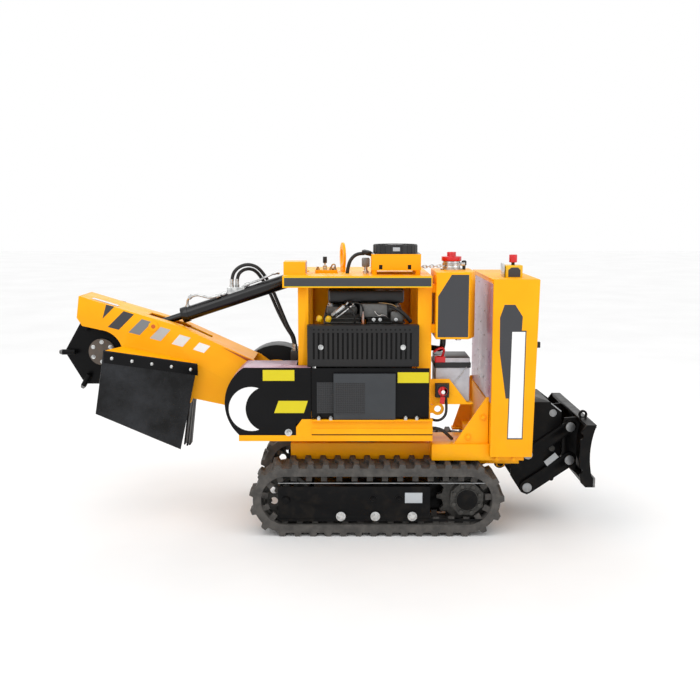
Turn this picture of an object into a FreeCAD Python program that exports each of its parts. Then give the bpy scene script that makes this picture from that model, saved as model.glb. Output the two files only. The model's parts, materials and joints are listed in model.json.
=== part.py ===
import FreeCAD, Part
import math
import os

# Tracked stump grinder, in millimetres. X runs from the cutter (negative) to the dozer blade (positive),
# Y across the machine (the belt side is negative), Z up from the ground. The origin is under the middle.

# ---- fits and plate thicknesses ----
RUN = 0.1            # radial clearance of a turning fit
GAP = 0.3            # gap beside a curved face
PLATE = 6.0          # frame plate
SHEET = 4.0          # cover sheet

# ---- tracks ----
TRACK_Y = 305.0      # middle of each track
TRACK_WIDE = 180.0
IDLER_X = -159.0
SPROCKET_X = 697.0
AXLE_Z = 175.0       # height of the idler and the sprocket
BELT_IN_R = 118.0    # inside of the rubber belt on its end bends
BELT_OUT_R = 156.0
LUG_TIP_R = AXLE_Z   # the lugs stand on the ground
LINKS = 35
LINK_PITCH = 72.0
LUG_FOOT, LUG_CREST = 19.0, 12.0   # half the length of a lug at its foot and its crest
LUG_STEP = 9.0       # each lug's two halves are set apart along the track
LUG_MID = 24.0       # half the width of the slanting part between them
GUIDE_Y = 46.0       # inner guide lugs, from the middle of the track
GUIDE_WIDE = 18.0
GUIDE_HIGH = 30.0
CHANNEL_HALF = 22.0  # groove that the sprocket teeth run in
TOOTH_TIP_R = 140.0
SPROCKET_TEETH = 12
ROLLER_R = 41.7
ROLLER_XS = (100.0, 263.0, 438.0)
ROLLER_HALF = 42.0
AXLE_R = 10.0
FRAME_OUT_Y = 385.0  # outer face of the track frame
FRAME_IN_Y = 229.0
FRAME_LOW = 72.0
FRAME_HIGH = 241.0
FRAME_X0 = -196.0
FRAME_X1 = 522.0
MOTOR_R = 58.0

# ---- chassis ----
BEAM_X0, BEAM_X1 = -145.0, 759.0
BEAM_HALF = 210.0
BEAM_LOW, BEAM_HIGH = 327.0, 408.0
REAR_X0, REAR_X1 = 745.0, 969.0
REAR_HALF = 330.0
REAR_LOW, REAR_HIGH = 305.0, 378.0
REAR_IN_HALF = 205.0   # the deep part of the rear box lies between the tracks
OVER_TRACK = 354.0     # lowest edge of what stands over a track
BEAM_BACK_HIGH = 362.0   # the beam is lower behind the deck
SHELF_X0, SHELF_TOP = 532.0, 432.0   # box beside the beam on the belt side
SHELF_IN_Y = -157.0
GUSSET_X, FAR_GUSSET_X = 640.0, 693.0
GUSSET_TOP = 654.0
GUSSET_Y = 300.0
GUSSET_FOOT_T = 10.0
CROSS_TOP = 630.0    # plate between the gussets
SWING_X = 205.0      # centre of the slewing ring
RING_OUT_R = 190.0
RING_IN_R = 150.0
RING_SPLIT = 432.0   # height of the joint between its races

# ---- control cabinet ----
CAB_X = 804.0
CAB_LOW_X, CAB_TOP_X = 1002.0, 1018.0
CAB_HALF = 360.0
CAB_TOP = 1215.0
CAB_WALL = 3.0
PANEL_LOW = CROSS_TOP + 6
STOP_X, STOP_Y = 917.0, -200.0
STOP_HALF = 40.0
STOP_BOX_HIGH = 59.0
STOP_STEM_R = 8.0

# ---- dozer blade and its parallel links ----
PIN_E = (1015.0, 180.0)
PIN_F = (1015.0, 346.0)
LINK_RUN, LINK_RISE = 204.0, 139.0
PIN_D = (PIN_E[0] + LINK_RUN, PIN_E[1] + LINK_RISE)
PIN_B = (PIN_F[0] + LINK_RUN, PIN_F[1] + LINK_RISE)
PIN_R = 15.0
MOUNT_Y = 160.0      # inner face of the mounting plates
MOUNT_T = 12.0
LINK_Y = MOUNT_Y + MOUNT_T + 4.0
TOWER_X, TOWER_TOP = 1121.0, 604.0
LOWER_EYE_R, UPPER_EYE_R = 34.0, 30.0
BLADE_HALF = 395.0
BLADE_FRONT = 1294.0
BLADE_LOW, BLADE_HIGH = 241.0, 540.0
BLADE_T = 12.0
RAM_G = (905.0, 262.0)
RAM_BARREL = 215.0   # length of the blade ram's barrel from its pin
RAM_ROD = 255.0      # length of its rod from the blade's pin
RAM_R = 24.0
RAM_ROD_R = 11.0
RAM_PLAY = 4.0       # free room round the rod in the gland

# ---- superstructure ----
DECK_X0, DECK_X1 = -378.0, 531.0
DECK_HALF = 370.0
DECK_LOW, DECK_HIGH = 458.0, 486.0
NOTCH_X, NOTCH_HALF = -90.0, 135.0
RAIL_X0, RAIL_HIGH = -109.0, 563.0
PIVOT_X, PIVOT_Z = -236.0, 638.0
EAR_T = 15.0
TRUNNION_R = 40.0
TRUNNION_IN_Y = 100.0
SHAFT_R = 25.0
TOP_LOW, TOP_HIGH = 1177.0, 1231.0
TOP_X0, TOP_X1 = -168.0, 523.0
TOP_HALF = 350.0
POST_Y, POST_HALF = 270.0, 25.0
POSTS = ((-100.0, -51.0), (461.0, 526.0))
SKIN_Y = -370.0      # outer face of the belt guard and the side panel
GUARD_R = 206.0
GUARD_TOP = 808.0
GUARD_X1 = -38.0
GUARD_DEEP_X = -108.0
GUARD_DEEP_Y = -158.0
BELT_Y0, BELT_Y1 = -330.0, -306.0
BIG_PULLEY_R, SMALL_PULLEY_R = 130.0, 70.0
BELT_T = 8.0
BELT_SPAN = 350.0    # how far the two belt shafts reach to the belt side
ENGINE_X, ENGINE_Z = 150.0, 650.0   # the engine's output shaft
ENGINE_X0, ENGINE_X1 = -20.0, 440.0
ENGINE_Y0, ENGINE_Y1 = -250.0, 240.0
ENGINE_LOW, ENGINE_HIGH = 560.0, 850.0
HEAD_HIGH = 1040.0
PUMP_X0, PUMP_TOP = -158.0, 823.0

# ---- tank, battery and what stands on the top frame ----
TANK_X0, TANK_X1 = 543.0, 733.0
TANK_Y0, TANK_Y1 = -330.0, -20.0
TANK_LOW, TANK_HIGH = 935.0, 1247.0
TANK_WALL = 3.0
CAP_X, CAP_Y = 633.0, -120.0
NECK_R, NECK_HIGH = 42.0, 42.0
NECK_BORE_R = 30.0
BATTERY_X0, BATTERY_X1 = 553.0, 716.0
BATTERY_Z = 620.0
EYE_X, EYE_Z, EYE_BORE_R = 563.0, 590.0, 16.0     # lashing eye
ISO_X, ISO_Z = 583.0, 682.0                       # battery isolator
COOLER_X0, COOLER_X1 = 245.0, 477.0
COOLER_Y0, COOLER_Y1 = -250.0, -20.0
COOLER_FOOT, COOLER_TOP = 20.0, 1327.0
FAN_HIGH = 42.0
FAN_R = 96.0
FAN_BLADES = 7
LIFT_EYE_X, LIFT_EYE_Z, LIFT_EYE_BORE = 108.0, 1303.0, 38.0
LEVER_X, LEVER_Y, LEVER_Z = 22.0, -100.0, 1256.0

# ---- boom and cutter ----
CUT_X, CUT_Z = -1087.0, 835.0
TIP_R = 208.0        # the circle that the teeth cut
HEX_R = 188.0
BOOM_HALF = 120.0
BOOM_T = 8.0
BOOM_END_R = 130.0
CASE_R = 112.0
CASE_Y = 34.0        # inner wall of the belt case
CUT_PULLEY_R, JACK_PULLEY_R = 70.0, 60.0
BOOM_BELT_Y0, BOOM_BELT_Y1 = 62.0, 88.0
LIFT_B = (-815.0, 970.0)
LIFT_F = (-110.0, 1203.0)
LIFT_BARREL = 614.0  # length of the lift ram's barrel from its pin
LIFT_ROD = 600.0
LIFT_R = 35.0
LIFT_ROD_R = 17.5
LIFT_PLAY = 5.5
FLAP_A = (-1009.0, -330.0)
FLAP_B = (-600.0, -160.0)
CURTAIN_X, CURTAIN_Z = -648.0, 598.0   # the rod that the rubber strips hang on
CURTAIN_R = 6.0
HOSE_R = 8.5
PORT_X0, PORT_X1 = -466.0, -380.0   # block on the lift ram that its hoses leave
PORT_TOP = 1152.0


def vec(x, y, z):
    return FreeCAD.Vector(x, y, z)


def box(x0, x1, y0, y1, z0, z1):
    return Part.makeBox(x1 - x0, y1 - y0, z1 - z0, vec(x0, y0, z0))


def rod_y(x, z, r, y0, y1):
    return Part.makeCylinder(r, y1 - y0, vec(x, y0, z), vec(0, 1, 0))


def rod_z(x, y, r, z0, z1):
    return Part.makeCylinder(r, z1 - z0, vec(x, y, z0), vec(0, 0, 1))


def bar(a, b, r):
    line = vec(*b).sub(vec(*a))
    return Part.makeCylinder(r, line.Length, vec(*a), line)


def plate_y(points, y0, y1):
    """A plate of an outline in X and Z, between two values of Y."""
    ring = [vec(x, y0, z) for x, z in points]
    return Part.Face(Part.makePolygon(ring + ring[:1])).extrude(vec(0, y1 - y0, 0))


def plate_z(points, z0, z1):
    ring = [vec(x, y, z0) for x, y in points]
    return Part.Face(Part.makePolygon(ring + ring[:1])).extrude(vec(0, 0, z1 - z0))


def join(first, *rest):
    return first.fuse(list(rest)).removeSplitter()


def strap(a, ra, b, rb, y0, y1):
    """A plate round two circles, with the straight sides that touch both."""
    dx, dz = b[0] - a[0], b[1] - a[1]
    far = math.hypot(dx, dz)
    along = math.atan2(dz, dx)
    lean = math.acos((ra - rb) / far)
    corners = []
    for (x, z), r, turn in ((a, ra, lean), (b, rb, lean), (b, rb, -lean), (a, ra, -lean)):
        corners.append((x + r * math.cos(along + turn), z + r * math.sin(along + turn)))
    return join(plate_y(corners, y0, y1), rod_y(*a, ra, y0, y1), rod_y(*b, rb, y0, y1))


def mirrored(shape):
    return shape.mirror(vec(0, 0, 0), vec(0, 1, 0))


def both(shape):
    return [shape, mirrored(shape)]


def save(name, *solids):
    shape = solids[0] if len(solids) == 1 else Part.makeCompound(list(solids))
    shape.exportStep("parts/" + name + ".step")


# ---- tracks: built on the belt side (negative Y) and mirrored ----

def stadium(r, y0, y1):
    middle = box(IDLER_X, SPROCKET_X, y0, y1, AXLE_Z - r, AXLE_Z + r)
    ends = [rod_y(x, AXLE_Z, r, y0, y1) for x in (IDLER_X, SPROCKET_X)]
    return join(middle, *ends)


def on_track(shape, distance, cord_r):
    """Carries a lug from the top of the idler to its place along the loop."""
    run = SPROCKET_X - IDLER_X
    bend = math.pi * cord_r
    moved = shape.copy()
    turns = 0
    distance %= 2 * (run + bend)
    if distance >= run + bend:
        distance -= run + bend
        turns = 180
    straight = min(distance, run)
    moved.translate(vec(straight, 0, 0))
    if distance > run:
        moved.rotate(vec(SPROCKET_X, 0, AXLE_Z), vec(0, 1, 0), math.degrees((distance - run) / cord_r))
    if turns:
        moved.rotate(vec((IDLER_X + SPROCKET_X) / 2, 0, AXLE_Z), vec(0, 1, 0), turns)
    return moved


def track_lug(y0, y1):
    """A lug in two halves set apart along the track, joined by a slanting middle."""
    base, tip = AXLE_Z + BELT_OUT_R - 5, AXLE_Z + LUG_TIP_R
    halves = []
    for x, ya, yb in ((IDLER_X + LUG_STEP, y0, -TRACK_Y - LUG_MID), (IDLER_X - LUG_STEP, -TRACK_Y + LUG_MID, y1)):
        halves.append(plate_y([(x - LUG_FOOT, base), (x + LUG_FOOT, base), (x + LUG_CREST, tip),
                               (x - LUG_CREST, tip)], ya, yb))
    near, far = -TRACK_Y - LUG_MID - 1, -TRACK_Y + LUG_MID + 1
    slant = plate_z([(IDLER_X + LUG_STEP - LUG_CREST, near), (IDLER_X + LUG_STEP + LUG_CREST, near),
                     (IDLER_X - LUG_STEP + LUG_CREST, far), (IDLER_X - LUG_STEP - LUG_CREST, far)], base, tip)
    return join(slant, *halves)


def rubber_track():
    y0, y1 = -TRACK_Y - TRACK_WIDE / 2, -TRACK_Y + TRACK_WIDE / 2
    belt = stadium(BELT_OUT_R, y0, y1).cut(stadium(BELT_IN_R, y0, y1))
    groove = stadium(TOOTH_TIP_R + 1.5, -TRACK_Y - CHANNEL_HALF, -TRACK_Y + CHANNEL_HALF)
    belt = belt.cut(groove)
    cord_r = (LINKS * LINK_PITCH - 2 * (SPROCKET_X - IDLER_X)) / (2 * math.pi)
    lug = track_lug(y0, y1)
    low, root = AXLE_Z + BELT_IN_R - GUIDE_HIGH, AXLE_Z + BELT_IN_R + 8
    guides = []
    for s in (-1, 1):
        mid = -TRACK_Y + s * (GUIDE_Y + GUIDE_WIDE / 2)
        guides.append(box(IDLER_X - 14, IDLER_X + 14, mid - GUIDE_WIDE / 2, mid + GUIDE_WIDE / 2, low, root))
    pieces = []
    for i in range(LINKS):
        for piece in [lug] + guides:
            pieces.append(on_track(piece, (i + 0.5) * LINK_PITCH, cord_r))
    return belt.fuse(pieces).common(stadium(LUG_TIP_R, y0, y1))


def axle_places():
    return [(IDLER_X, AXLE_Z)] + [(x, roller_z()) for x in ROLLER_XS]


def roller_z():
    return AXLE_Z - BELT_IN_R + ROLLER_R + GAP


def track_frame():
    outer = box(FRAME_X0, FRAME_X1, -FRAME_OUT_Y, -FRAME_OUT_Y + PLATE, FRAME_LOW, FRAME_HIGH)
    inner = box(FRAME_X0, SPROCKET_X, -FRAME_IN_Y - PLATE, -FRAME_IN_Y, FRAME_LOW, FRAME_HIGH)
    flange = rod_y(SPROCKET_X, AXLE_Z, 84.5, -FRAME_IN_Y - PLATE, -FRAME_IN_Y)
    lid_x = IDLER_X + BELT_IN_R + 12
    lid = box(lid_x, FRAME_X1, -FRAME_OUT_Y, -FRAME_IN_Y, FRAME_HIGH - PLATE, FRAME_HIGH)
    frame = join(outer, inner, flange, lid)
    holes = [rod_y(x, z, AXLE_R + GAP, -FRAME_OUT_Y - 1, -FRAME_IN_Y + 1) for x, z in axle_places()]
    holes.append(rod_y(SPROCKET_X, AXLE_Z, MOTOR_R + GAP, -FRAME_IN_Y - PLATE - 1, -FRAME_IN_Y + 1))
    return frame.cut(holes)


def axle(x, z):
    shank = rod_y(x, z, AXLE_R, -FRAME_OUT_Y, -FRAME_IN_Y)
    head = rod_y(x, z, 17, -FRAME_OUT_Y - 9, -FRAME_OUT_Y)
    nut = rod_y(x, z, 15, -FRAME_IN_Y, -FRAME_IN_Y + 9)
    return join(shank, head, nut)


def roller(x):
    drum = rod_y(x, roller_z(), ROLLER_R, -TRACK_Y - ROLLER_HALF, -TRACK_Y + ROLLER_HALF)
    waist = rod_y(x, roller_z(), ROLLER_R + 1, -TRACK_Y - 14, -TRACK_Y + 14)
    waist = waist.cut(rod_y(x, roller_z(), ROLLER_R - 8, -TRACK_Y - 15, -TRACK_Y + 15))
    bore = rod_y(x, roller_z(), AXLE_R + RUN, -TRACK_Y - 60, -TRACK_Y + 60)
    return drum.cut([waist, bore])


def idler():
    r = BELT_IN_R - GAP
    wheel = rod_y(IDLER_X, AXLE_Z, r, -TRACK_Y - ROLLER_HALF, -TRACK_Y + ROLLER_HALF)
    cuts = [rod_y(IDLER_X, AXLE_Z, AXLE_R + RUN, -TRACK_Y - 60, -TRACK_Y + 60)]
    for y in (-TRACK_Y - ROLLER_HALF - 1, -TRACK_Y + 8):
        cuts.append(rod_y(IDLER_X, AXLE_Z, r - 15, y, y + ROLLER_HALF - 7))
        cuts[-1] = cuts[-1].cut(rod_y(IDLER_X, AXLE_Z, 28, y - 1, y + ROLLER_HALF))
    for i in range(8):
        a = math.radians(22.5 + 45 * i)
        x, z = IDLER_X + 68 * math.cos(a), AXLE_Z + 68 * math.sin(a)
        cuts.append(rod_y(x, z, 19, -TRACK_Y - 60, -TRACK_Y + 60))
    return wheel.cut(cuts)


def drive_motor():
    spindle = rod_y(SPROCKET_X, AXLE_Z, MOTOR_R, -TRACK_Y, -150)
    flange = rod_y(SPROCKET_X, AXLE_Z, 84.5, -FRAME_IN_Y, -FRAME_IN_Y + 12)
    ports = [rod_z(SPROCKET_X + dx, -180, 12, AXLE_Z + 40, AXLE_Z + 78) for dx in (-24, 24)]
    return join(spindle, flange, *ports)


def drive_sprocket():
    wide = CHANNEL_HALF - 4
    disc = rod_y(SPROCKET_X, AXLE_Z, TOOTH_TIP_R - 26, -TRACK_Y - wide, -TRACK_Y + wide)
    teeth = []
    for i in range(SPROCKET_TEETH):
        base, tip, foot = 16.0, 8.0, TOOTH_TIP_R - 32
        outline = [(SPROCKET_X - base, AXLE_Z + foot), (SPROCKET_X + base, AXLE_Z + foot)]
        outline += [(SPROCKET_X + tip, AXLE_Z + TOOTH_TIP_R - 1), (SPROCKET_X - tip, AXLE_Z + TOOTH_TIP_R - 1)]
        tooth = plate_y(outline, -TRACK_Y - wide, -TRACK_Y + wide)
        tooth.rotate(vec(SPROCKET_X, 0, AXLE_Z), vec(0, 1, 0), 360.0 * i / SPROCKET_TEETH)
        teeth.append(tooth)
    hub = rod_y(SPROCKET_X, AXLE_Z, 78, -TRACK_Y - 62, -TRACK_Y + 40)
    cap = rod_y(SPROCKET_X, AXLE_Z, 52, -TRACK_Y - 76, -TRACK_Y - 60)
    bore = rod_y(SPROCKET_X, AXLE_Z, MOTOR_R + RUN, -TRACK_Y - 3, -TRACK_Y + 60)
    return join(disc, hub, cap, *teeth).cut(bore)


def make_tracks():
    for side, place in (("left", lambda s: s), ("right", mirrored)):
        save("rubber_track_" + side, place(rubber_track()))
        save("track_frame_" + side, place(track_frame()))
        save("drive_sprocket_" + side, place(drive_sprocket()))
        save("idler_" + side, place(idler()))
        for number, x in enumerate(ROLLER_XS, 1):
            save(f"track_roller_{side}_{number}", place(roller(x)))
    axles = []
    for x, z in axle_places():
        axles += both(axle(x, z))
    save("track_axles", *axles)
    save("drive_motors", *both(drive_motor()))


# ---- chassis ----

def hollow(x0, x1, half, z0, z1, wall):
    shell = box(x0, x1, -half, half, z0, z1)
    return shell.cut(box(x0 + wall, x1 - wall, -half + wall, half - wall, z0 + wall, z1 - wall))


def ring(z0, z1):
    return rod_z(SWING_X, 0, RING_OUT_R, z0, z1).cut(rod_z(SWING_X, 0, RING_IN_R, z0 - 1, z1 + 1))


def gusset(foot_x, foot_z, y):
    edge = CAB_X - CAB_WALL - GAP
    return plate_y([(foot_x, foot_z), (edge, foot_z), (edge, GUSSET_TOP), (edge - 12, GUSSET_TOP)], y - 6, y + 6)


def cabinet_support():
    """The riser under the cabinet, the box on the belt side, the gussets and the plate between them."""
    riser = box(REAR_X0, CAB_X - 1, -REAR_HALF, REAR_HALF, REAR_HIGH - 2, BEAM_HIGH)
    x1, w = CAB_X - 1, PLATE
    shelf = box(SHELF_X0, x1, -REAR_HALF, SHELF_IN_Y, OVER_TRACK, SHELF_TOP)
    shelf = shelf.cut(box(SHELF_X0 + w, x1 - w, -REAR_HALF + w, SHELF_IN_Y - w, OVER_TRACK + w, SHELF_TOP - w))
    foot = box(FAR_GUSSET_X, REAR_X0 + 1, GUSSET_Y - 30, GUSSET_Y + 30, BEAM_BACK_HIGH, BEAM_BACK_HIGH + GUSSET_FOOT_T)
    edge = CAB_X - CAB_WALL - GAP
    cross = box(edge - PLATE, edge, -GUSSET_Y, GUSSET_Y, BEAM_HIGH - 2, CROSS_TOP)
    return [riser, shelf, foot, cross, gusset(GUSSET_X, SHELF_TOP - 1, -GUSSET_Y),
            gusset(FAR_GUSSET_X, BEAM_BACK_HIGH, GUSSET_Y)]


def chassis_frame():
    beam = join(hollow(BEAM_X0, SHELF_X0, BEAM_HALF, BEAM_LOW, BEAM_HIGH, PLATE),
                hollow(SHELF_X0 - PLATE, BEAM_X1, BEAM_HALF, BEAM_LOW, BEAM_BACK_HIGH, PLATE))
    rear = join(hollow(REAR_X0, REAR_X1, REAR_HALF, OVER_TRACK, REAR_HIGH, PLATE),
                hollow(REAR_X0, REAR_X1, REAR_IN_HALF, REAR_LOW, REAR_HIGH, PLATE))
    legs = []
    for x in (60.0, 420.0):
        tube = box(x, x + 80, -FRAME_IN_Y, FRAME_IN_Y, 150, 230)
        legs.append(tube)
        legs += both(box(x, x + 80, -205, -125, 229, BEAM_LOW + 1))
    lug = plate_y([(RAM_G[0] - 22, REAR_LOW + 1), (RAM_G[0] - 22, RAM_G[1] - 18), (RAM_G[0] + 22, RAM_G[1] - 18),
                   (RAM_G[0] + 22, REAR_LOW + 1)], -42, -30)
    frame = join(beam, rear, *cabinet_support(), *legs, *both(lug))
    return frame.cut(rod_y(*RAM_G, PIN_R + RUN, -60, 60))


def control_cabinet():
    def outline(w, floor):
        slope = (CAB_TOP_X - CAB_LOW_X) / (CAB_TOP - REAR_HIGH)
        top, low = CAB_TOP - w, floor + w
        right = [(CAB_LOW_X + slope * (z - REAR_HIGH) - w, z) for z in (low, top)]
        return [(CAB_X + w, low), right[0], right[1], (CAB_X + w, top)]
    shell = plate_y(outline(0, REAR_HIGH), -CAB_HALF, CAB_HALF)
    inside = plate_y(outline(CAB_WALL, REAR_HIGH), -CAB_HALF + CAB_WALL, CAB_HALF - CAB_WALL)
    door = box(CAB_X - 1, CAB_X + CAB_WALL + 1, -CAB_HALF + 30, CAB_HALF - 30, PANEL_LOW + 20, CAB_TOP - 35)
    return shell.cut([inside, door])


def cabinet_panel():
    y = CAB_HALF - 15
    return box(CAB_X - CAB_WALL, CAB_X, -y, y, PANEL_LOW, CAB_TOP - 20)


def stop_button_box():
    top = CAB_TOP + STOP_BOX_HIGH
    case = box(STOP_X - STOP_HALF, STOP_X + STOP_HALF, STOP_Y - STOP_HALF, STOP_Y + STOP_HALF, CAB_TOP, top)
    return case.cut(rod_z(STOP_X, STOP_Y, STOP_STEM_R + RUN, CAB_TOP + 20, top + 1))


def stop_button():
    top = CAB_TOP + STOP_BOX_HIGH
    stem = rod_z(STOP_X, STOP_Y, STOP_STEM_R, CAB_TOP + 30, top + 14)
    head = rod_z(STOP_X, STOP_Y, 19, top + 12, top + 49)
    return join(stem, head)


def blade_mount():
    back = CAB_TOP_X - 8
    side = [(REAR_X1, REAR_HIGH), (REAR_X1, REAR_LOW), (REAR_X1 - 34, REAR_LOW), (REAR_X1 - 34, 235), (990, 150),
            (1020, 138), (1057, 165), (1072, 232), (1178, 300), (1178, 560), (TOWER_X, TOWER_TOP), (back, TOWER_TOP),
            (back, REAR_HIGH)]
    plates = both(plate_y(side, -MOUNT_Y - MOUNT_T, -MOUNT_Y))
    lid = box(back, TOWER_X, -MOUNT_Y - MOUNT_T, MOUNT_Y + MOUNT_T, TOWER_TOP - MOUNT_T, TOWER_TOP)
    wall = box(back, back + 10, -MOUNT_Y, MOUNT_Y, REAR_HIGH + 20, TOWER_TOP)
    holes = [rod_y(*p, PIN_R + RUN, -400, 400) for p in (PIN_E, PIN_F)]
    return join(plates[0], plates[1], lid, wall).cut(holes)


def link_pin(p):
    shank = rod_y(*p, PIN_R, -LINK_Y - MOUNT_T, -MOUNT_Y + 8)
    return join(shank, rod_y(*p, 23, -LINK_Y - MOUNT_T - 9, -LINK_Y - MOUNT_T))


def lower_link():
    side = strap(PIN_E, LOWER_EYE_R, PIN_D, LOWER_EYE_R, -LINK_Y - MOUNT_T, -LINK_Y)
    mid = ((PIN_E[0] + PIN_D[0]) / 2 + 19, (PIN_E[1] + PIN_D[1]) / 2 - 28)
    tie = rod_y(*mid, 12, -LINK_Y - 1, LINK_Y + 1)
    holes = [rod_y(*p, PIN_R + GAP, -400, 400) for p in (PIN_E, PIN_D)]
    link = join(tie, *both(side)).cut(holes)
    reach = LINK_Y + MOUNT_T
    long_pin = join(rod_y(*PIN_D, PIN_R, -reach, reach), *both(rod_y(*PIN_D, 23, -reach - 9, -reach)))
    return [link, long_pin] + both(link_pin(PIN_E))


def upper_link():
    side = strap(PIN_F, UPPER_EYE_R, PIN_B, UPPER_EYE_R, -LINK_Y - MOUNT_T, -LINK_Y)
    side = side.cut([rod_y(*p, PIN_R + GAP, -400, 400) for p in (PIN_F, PIN_B)])
    return both(side) + both(link_pin(PIN_F)) + both(link_pin(PIN_B))


def blade_arc(x, half, y):
    """The hollow front of the blade: an arc that is deepest half way up."""
    mid = (BLADE_LOW + BLADE_HIGH) / 2
    return Part.Arc(vec(x, y, mid - half), vec(x - 27, y, mid), vec(x, y, mid + half)).toShape()


def dozer_blade():
    half = (BLADE_HIGH - BLADE_LOW) / 2
    mid = (BLADE_LOW + BLADE_HIGH) / 2
    y = -BLADE_HALF
    front = blade_arc(BLADE_FRONT, half, y)
    back = blade_arc(BLADE_FRONT - BLADE_T, half, y)
    top = Part.makeLine(vec(BLADE_FRONT, y, mid + half), vec(BLADE_FRONT - BLADE_T, y, mid + half))
    low = Part.makeLine(vec(BLADE_FRONT - BLADE_T, y, mid - half), vec(BLADE_FRONT, y, mid - half))
    skin = Part.Face(Part.Wire(Part.__sortEdges__([front, back, top, low]))).extrude(vec(0, 2 * BLADE_HALF, 0))
    cap = box(BLADE_FRONT - 46, BLADE_FRONT - 2, -BLADE_HALF, BLADE_HALF, BLADE_HIGH - 14, BLADE_HIGH)
    edge_in = BLADE_FRONT - 44
    edge = box(edge_in, BLADE_FRONT - BLADE_T + 2, -BLADE_HALF, BLADE_HALF, BLADE_LOW, BLADE_LOW + 16)
    cheek_points = [(BLADE_FRONT - 46, BLADE_HIGH), (BLADE_FRONT - 74, 500), (BLADE_FRONT - 74, 320),
                    (BLADE_FRONT - 66, BLADE_LOW + 22), (edge_in, BLADE_LOW), (BLADE_FRONT - 16, BLADE_LOW),
                    (BLADE_FRONT - 34, mid), (BLADE_FRONT - 16, BLADE_HIGH)]
    cheek = plate_y(cheek_points, -BLADE_HALF, -BLADE_HALF + 12)
    bracket_points = [(PIN_D[0] - 30, PIN_D[1] - 20), (PIN_D[0] - 4, PIN_D[1] - 38), (edge_in + 6, BLADE_LOW + 8),
                      (BLADE_FRONT - 34, mid), (BLADE_FRONT - 20, BLADE_HIGH - 8), (PIN_B[0] - 26, PIN_B[1] + 40),
                      (PIN_B[0] - 34, PIN_B[1] + 10), (PIN_D[0] - 34, PIN_D[1] + 10)]
    bracket = plate_y(bracket_points, -MOUNT_Y - MOUNT_T, -MOUNT_Y)
    lug_points = [(BLADE_FRONT - 34, mid - 60), (PIN_D[0] - 4, PIN_D[1] - 26), (PIN_D[0] - 26, PIN_D[1]),
                  (PIN_D[0], PIN_D[1] + 28), (BLADE_FRONT - 34, mid + 10)]
    lug = plate_y(lug_points, -46, -34)
    eye = rod_y(BLADE_FRONT - 24, BLADE_HIGH + 14, 21, -225, -213)
    blade = join(skin, cap, edge, eye, *both(cheek), *both(bracket), *both(lug))
    holes = [rod_y(*p, PIN_R + RUN, -400, 400) for p in (PIN_D, PIN_B)]
    holes.append(rod_y(BLADE_FRONT - 24, BLADE_HIGH + 14, 11, -230, -200))
    wear = box(BLADE_FRONT - 8, BLADE_FRONT + 1.5, -BLADE_HALF, BLADE_HALF, BLADE_LOW, BLADE_LOW + 45)
    return blade.cut(holes).cut(wear), wear


# ---- hydraulic rams: the barrel turns on one pin, the rod on the other, and they slide in line ----

def toward(a, b, d):
    far = math.hypot(b[0] - a[0], b[1] - a[1])
    return (a[0] + (b[0] - a[0]) * d / far, a[1] + (b[1] - a[1]) * d / far)


def run_bar(a, b, d0, d1, r, y=0.0):
    p, q = toward(a, b, d0), toward(a, b, d1)
    return bar((p[0], y, p[1]), (q[0], y, q[1]), r)


def ram_barrel(pin, far_pin, length, r, rod_r, play, eye_half, *ports):
    tube = run_bar(pin, far_pin, 30, length, r)
    gland = run_bar(pin, far_pin, length - 34, length, r + 4)
    eye = rod_y(*pin, 30, -eye_half, eye_half)
    barrel = join(tube, gland, eye, *ports)
    barrel = barrel.cut([run_bar(pin, far_pin, 60, length - 40, r - 5), rod_y(*pin, PIN_R + GAP, -99, 99),
                         run_bar(pin, far_pin, length - 45, length + 1, rod_r + play)])
    return barrel


def ram_rod(pin, far_pin, reach, r, barrel_r, eye_half, play):
    rod = run_bar(pin, far_pin, 20, reach, r)
    piston = run_bar(pin, far_pin, reach - 30, reach, barrel_r - 5 - play)
    eye = rod_y(*pin, 27, -eye_half, eye_half)
    return join(rod, piston, eye).cut(rod_y(*pin, PIN_R + RUN, -99, 99))


def make_rams():
    port = box(PORT_X0, PORT_X1, -20, 30, PORT_TOP - 34, PORT_TOP)
    barrel = ram_barrel(LIFT_F, LIFT_B, LIFT_BARREL, LIFT_R, LIFT_ROD_R, LIFT_PLAY, 38, port)
    save("lift_cylinder_barrel", barrel, rod_y(*LIFT_F, PIN_R, -66, 66))
    save("lift_cylinder_rod", ram_rod(LIFT_B, LIFT_F, LIFT_ROD, LIFT_ROD_R, LIFT_R, 25, LIFT_PLAY))
    barrel = ram_barrel(RAM_G, PIN_D, RAM_BARREL, RAM_R, RAM_ROD_R, RAM_PLAY, 26)
    save("blade_cylinder_barrel", barrel, rod_y(*RAM_G, PIN_R, -50, 50))
    save("blade_cylinder_rod", ram_rod(PIN_D, RAM_G, RAM_ROD, RAM_ROD_R, RAM_R, 24, RAM_PLAY))


def make_chassis():
    save("chassis_frame", chassis_frame(), ring(BEAM_HIGH, RING_SPLIT))
    save("control_cabinet", control_cabinet())
    save("cabinet_panel", cabinet_panel())
    save("stop_button_box", stop_button_box())
    save("stop_button", stop_button())
    save("blade_mount", blade_mount())
    save("blade_lower_link", *lower_link())
    save("blade_upper_link", *upper_link())
    save("dozer_blade", *dozer_blade())


# ---- superstructure ----

def bearing_plate(y0, y1):
    foot = [(PIVOT_X - 95, DECK_HIGH), (PIVOT_X + 95, DECK_HIGH), (PIVOT_X + 60, PIVOT_Z), (PIVOT_X - 60, PIVOT_Z)]
    return join(plate_y(foot, y0, y1), rod_y(PIVOT_X, PIVOT_Z, 62, y0, y1))


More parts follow.
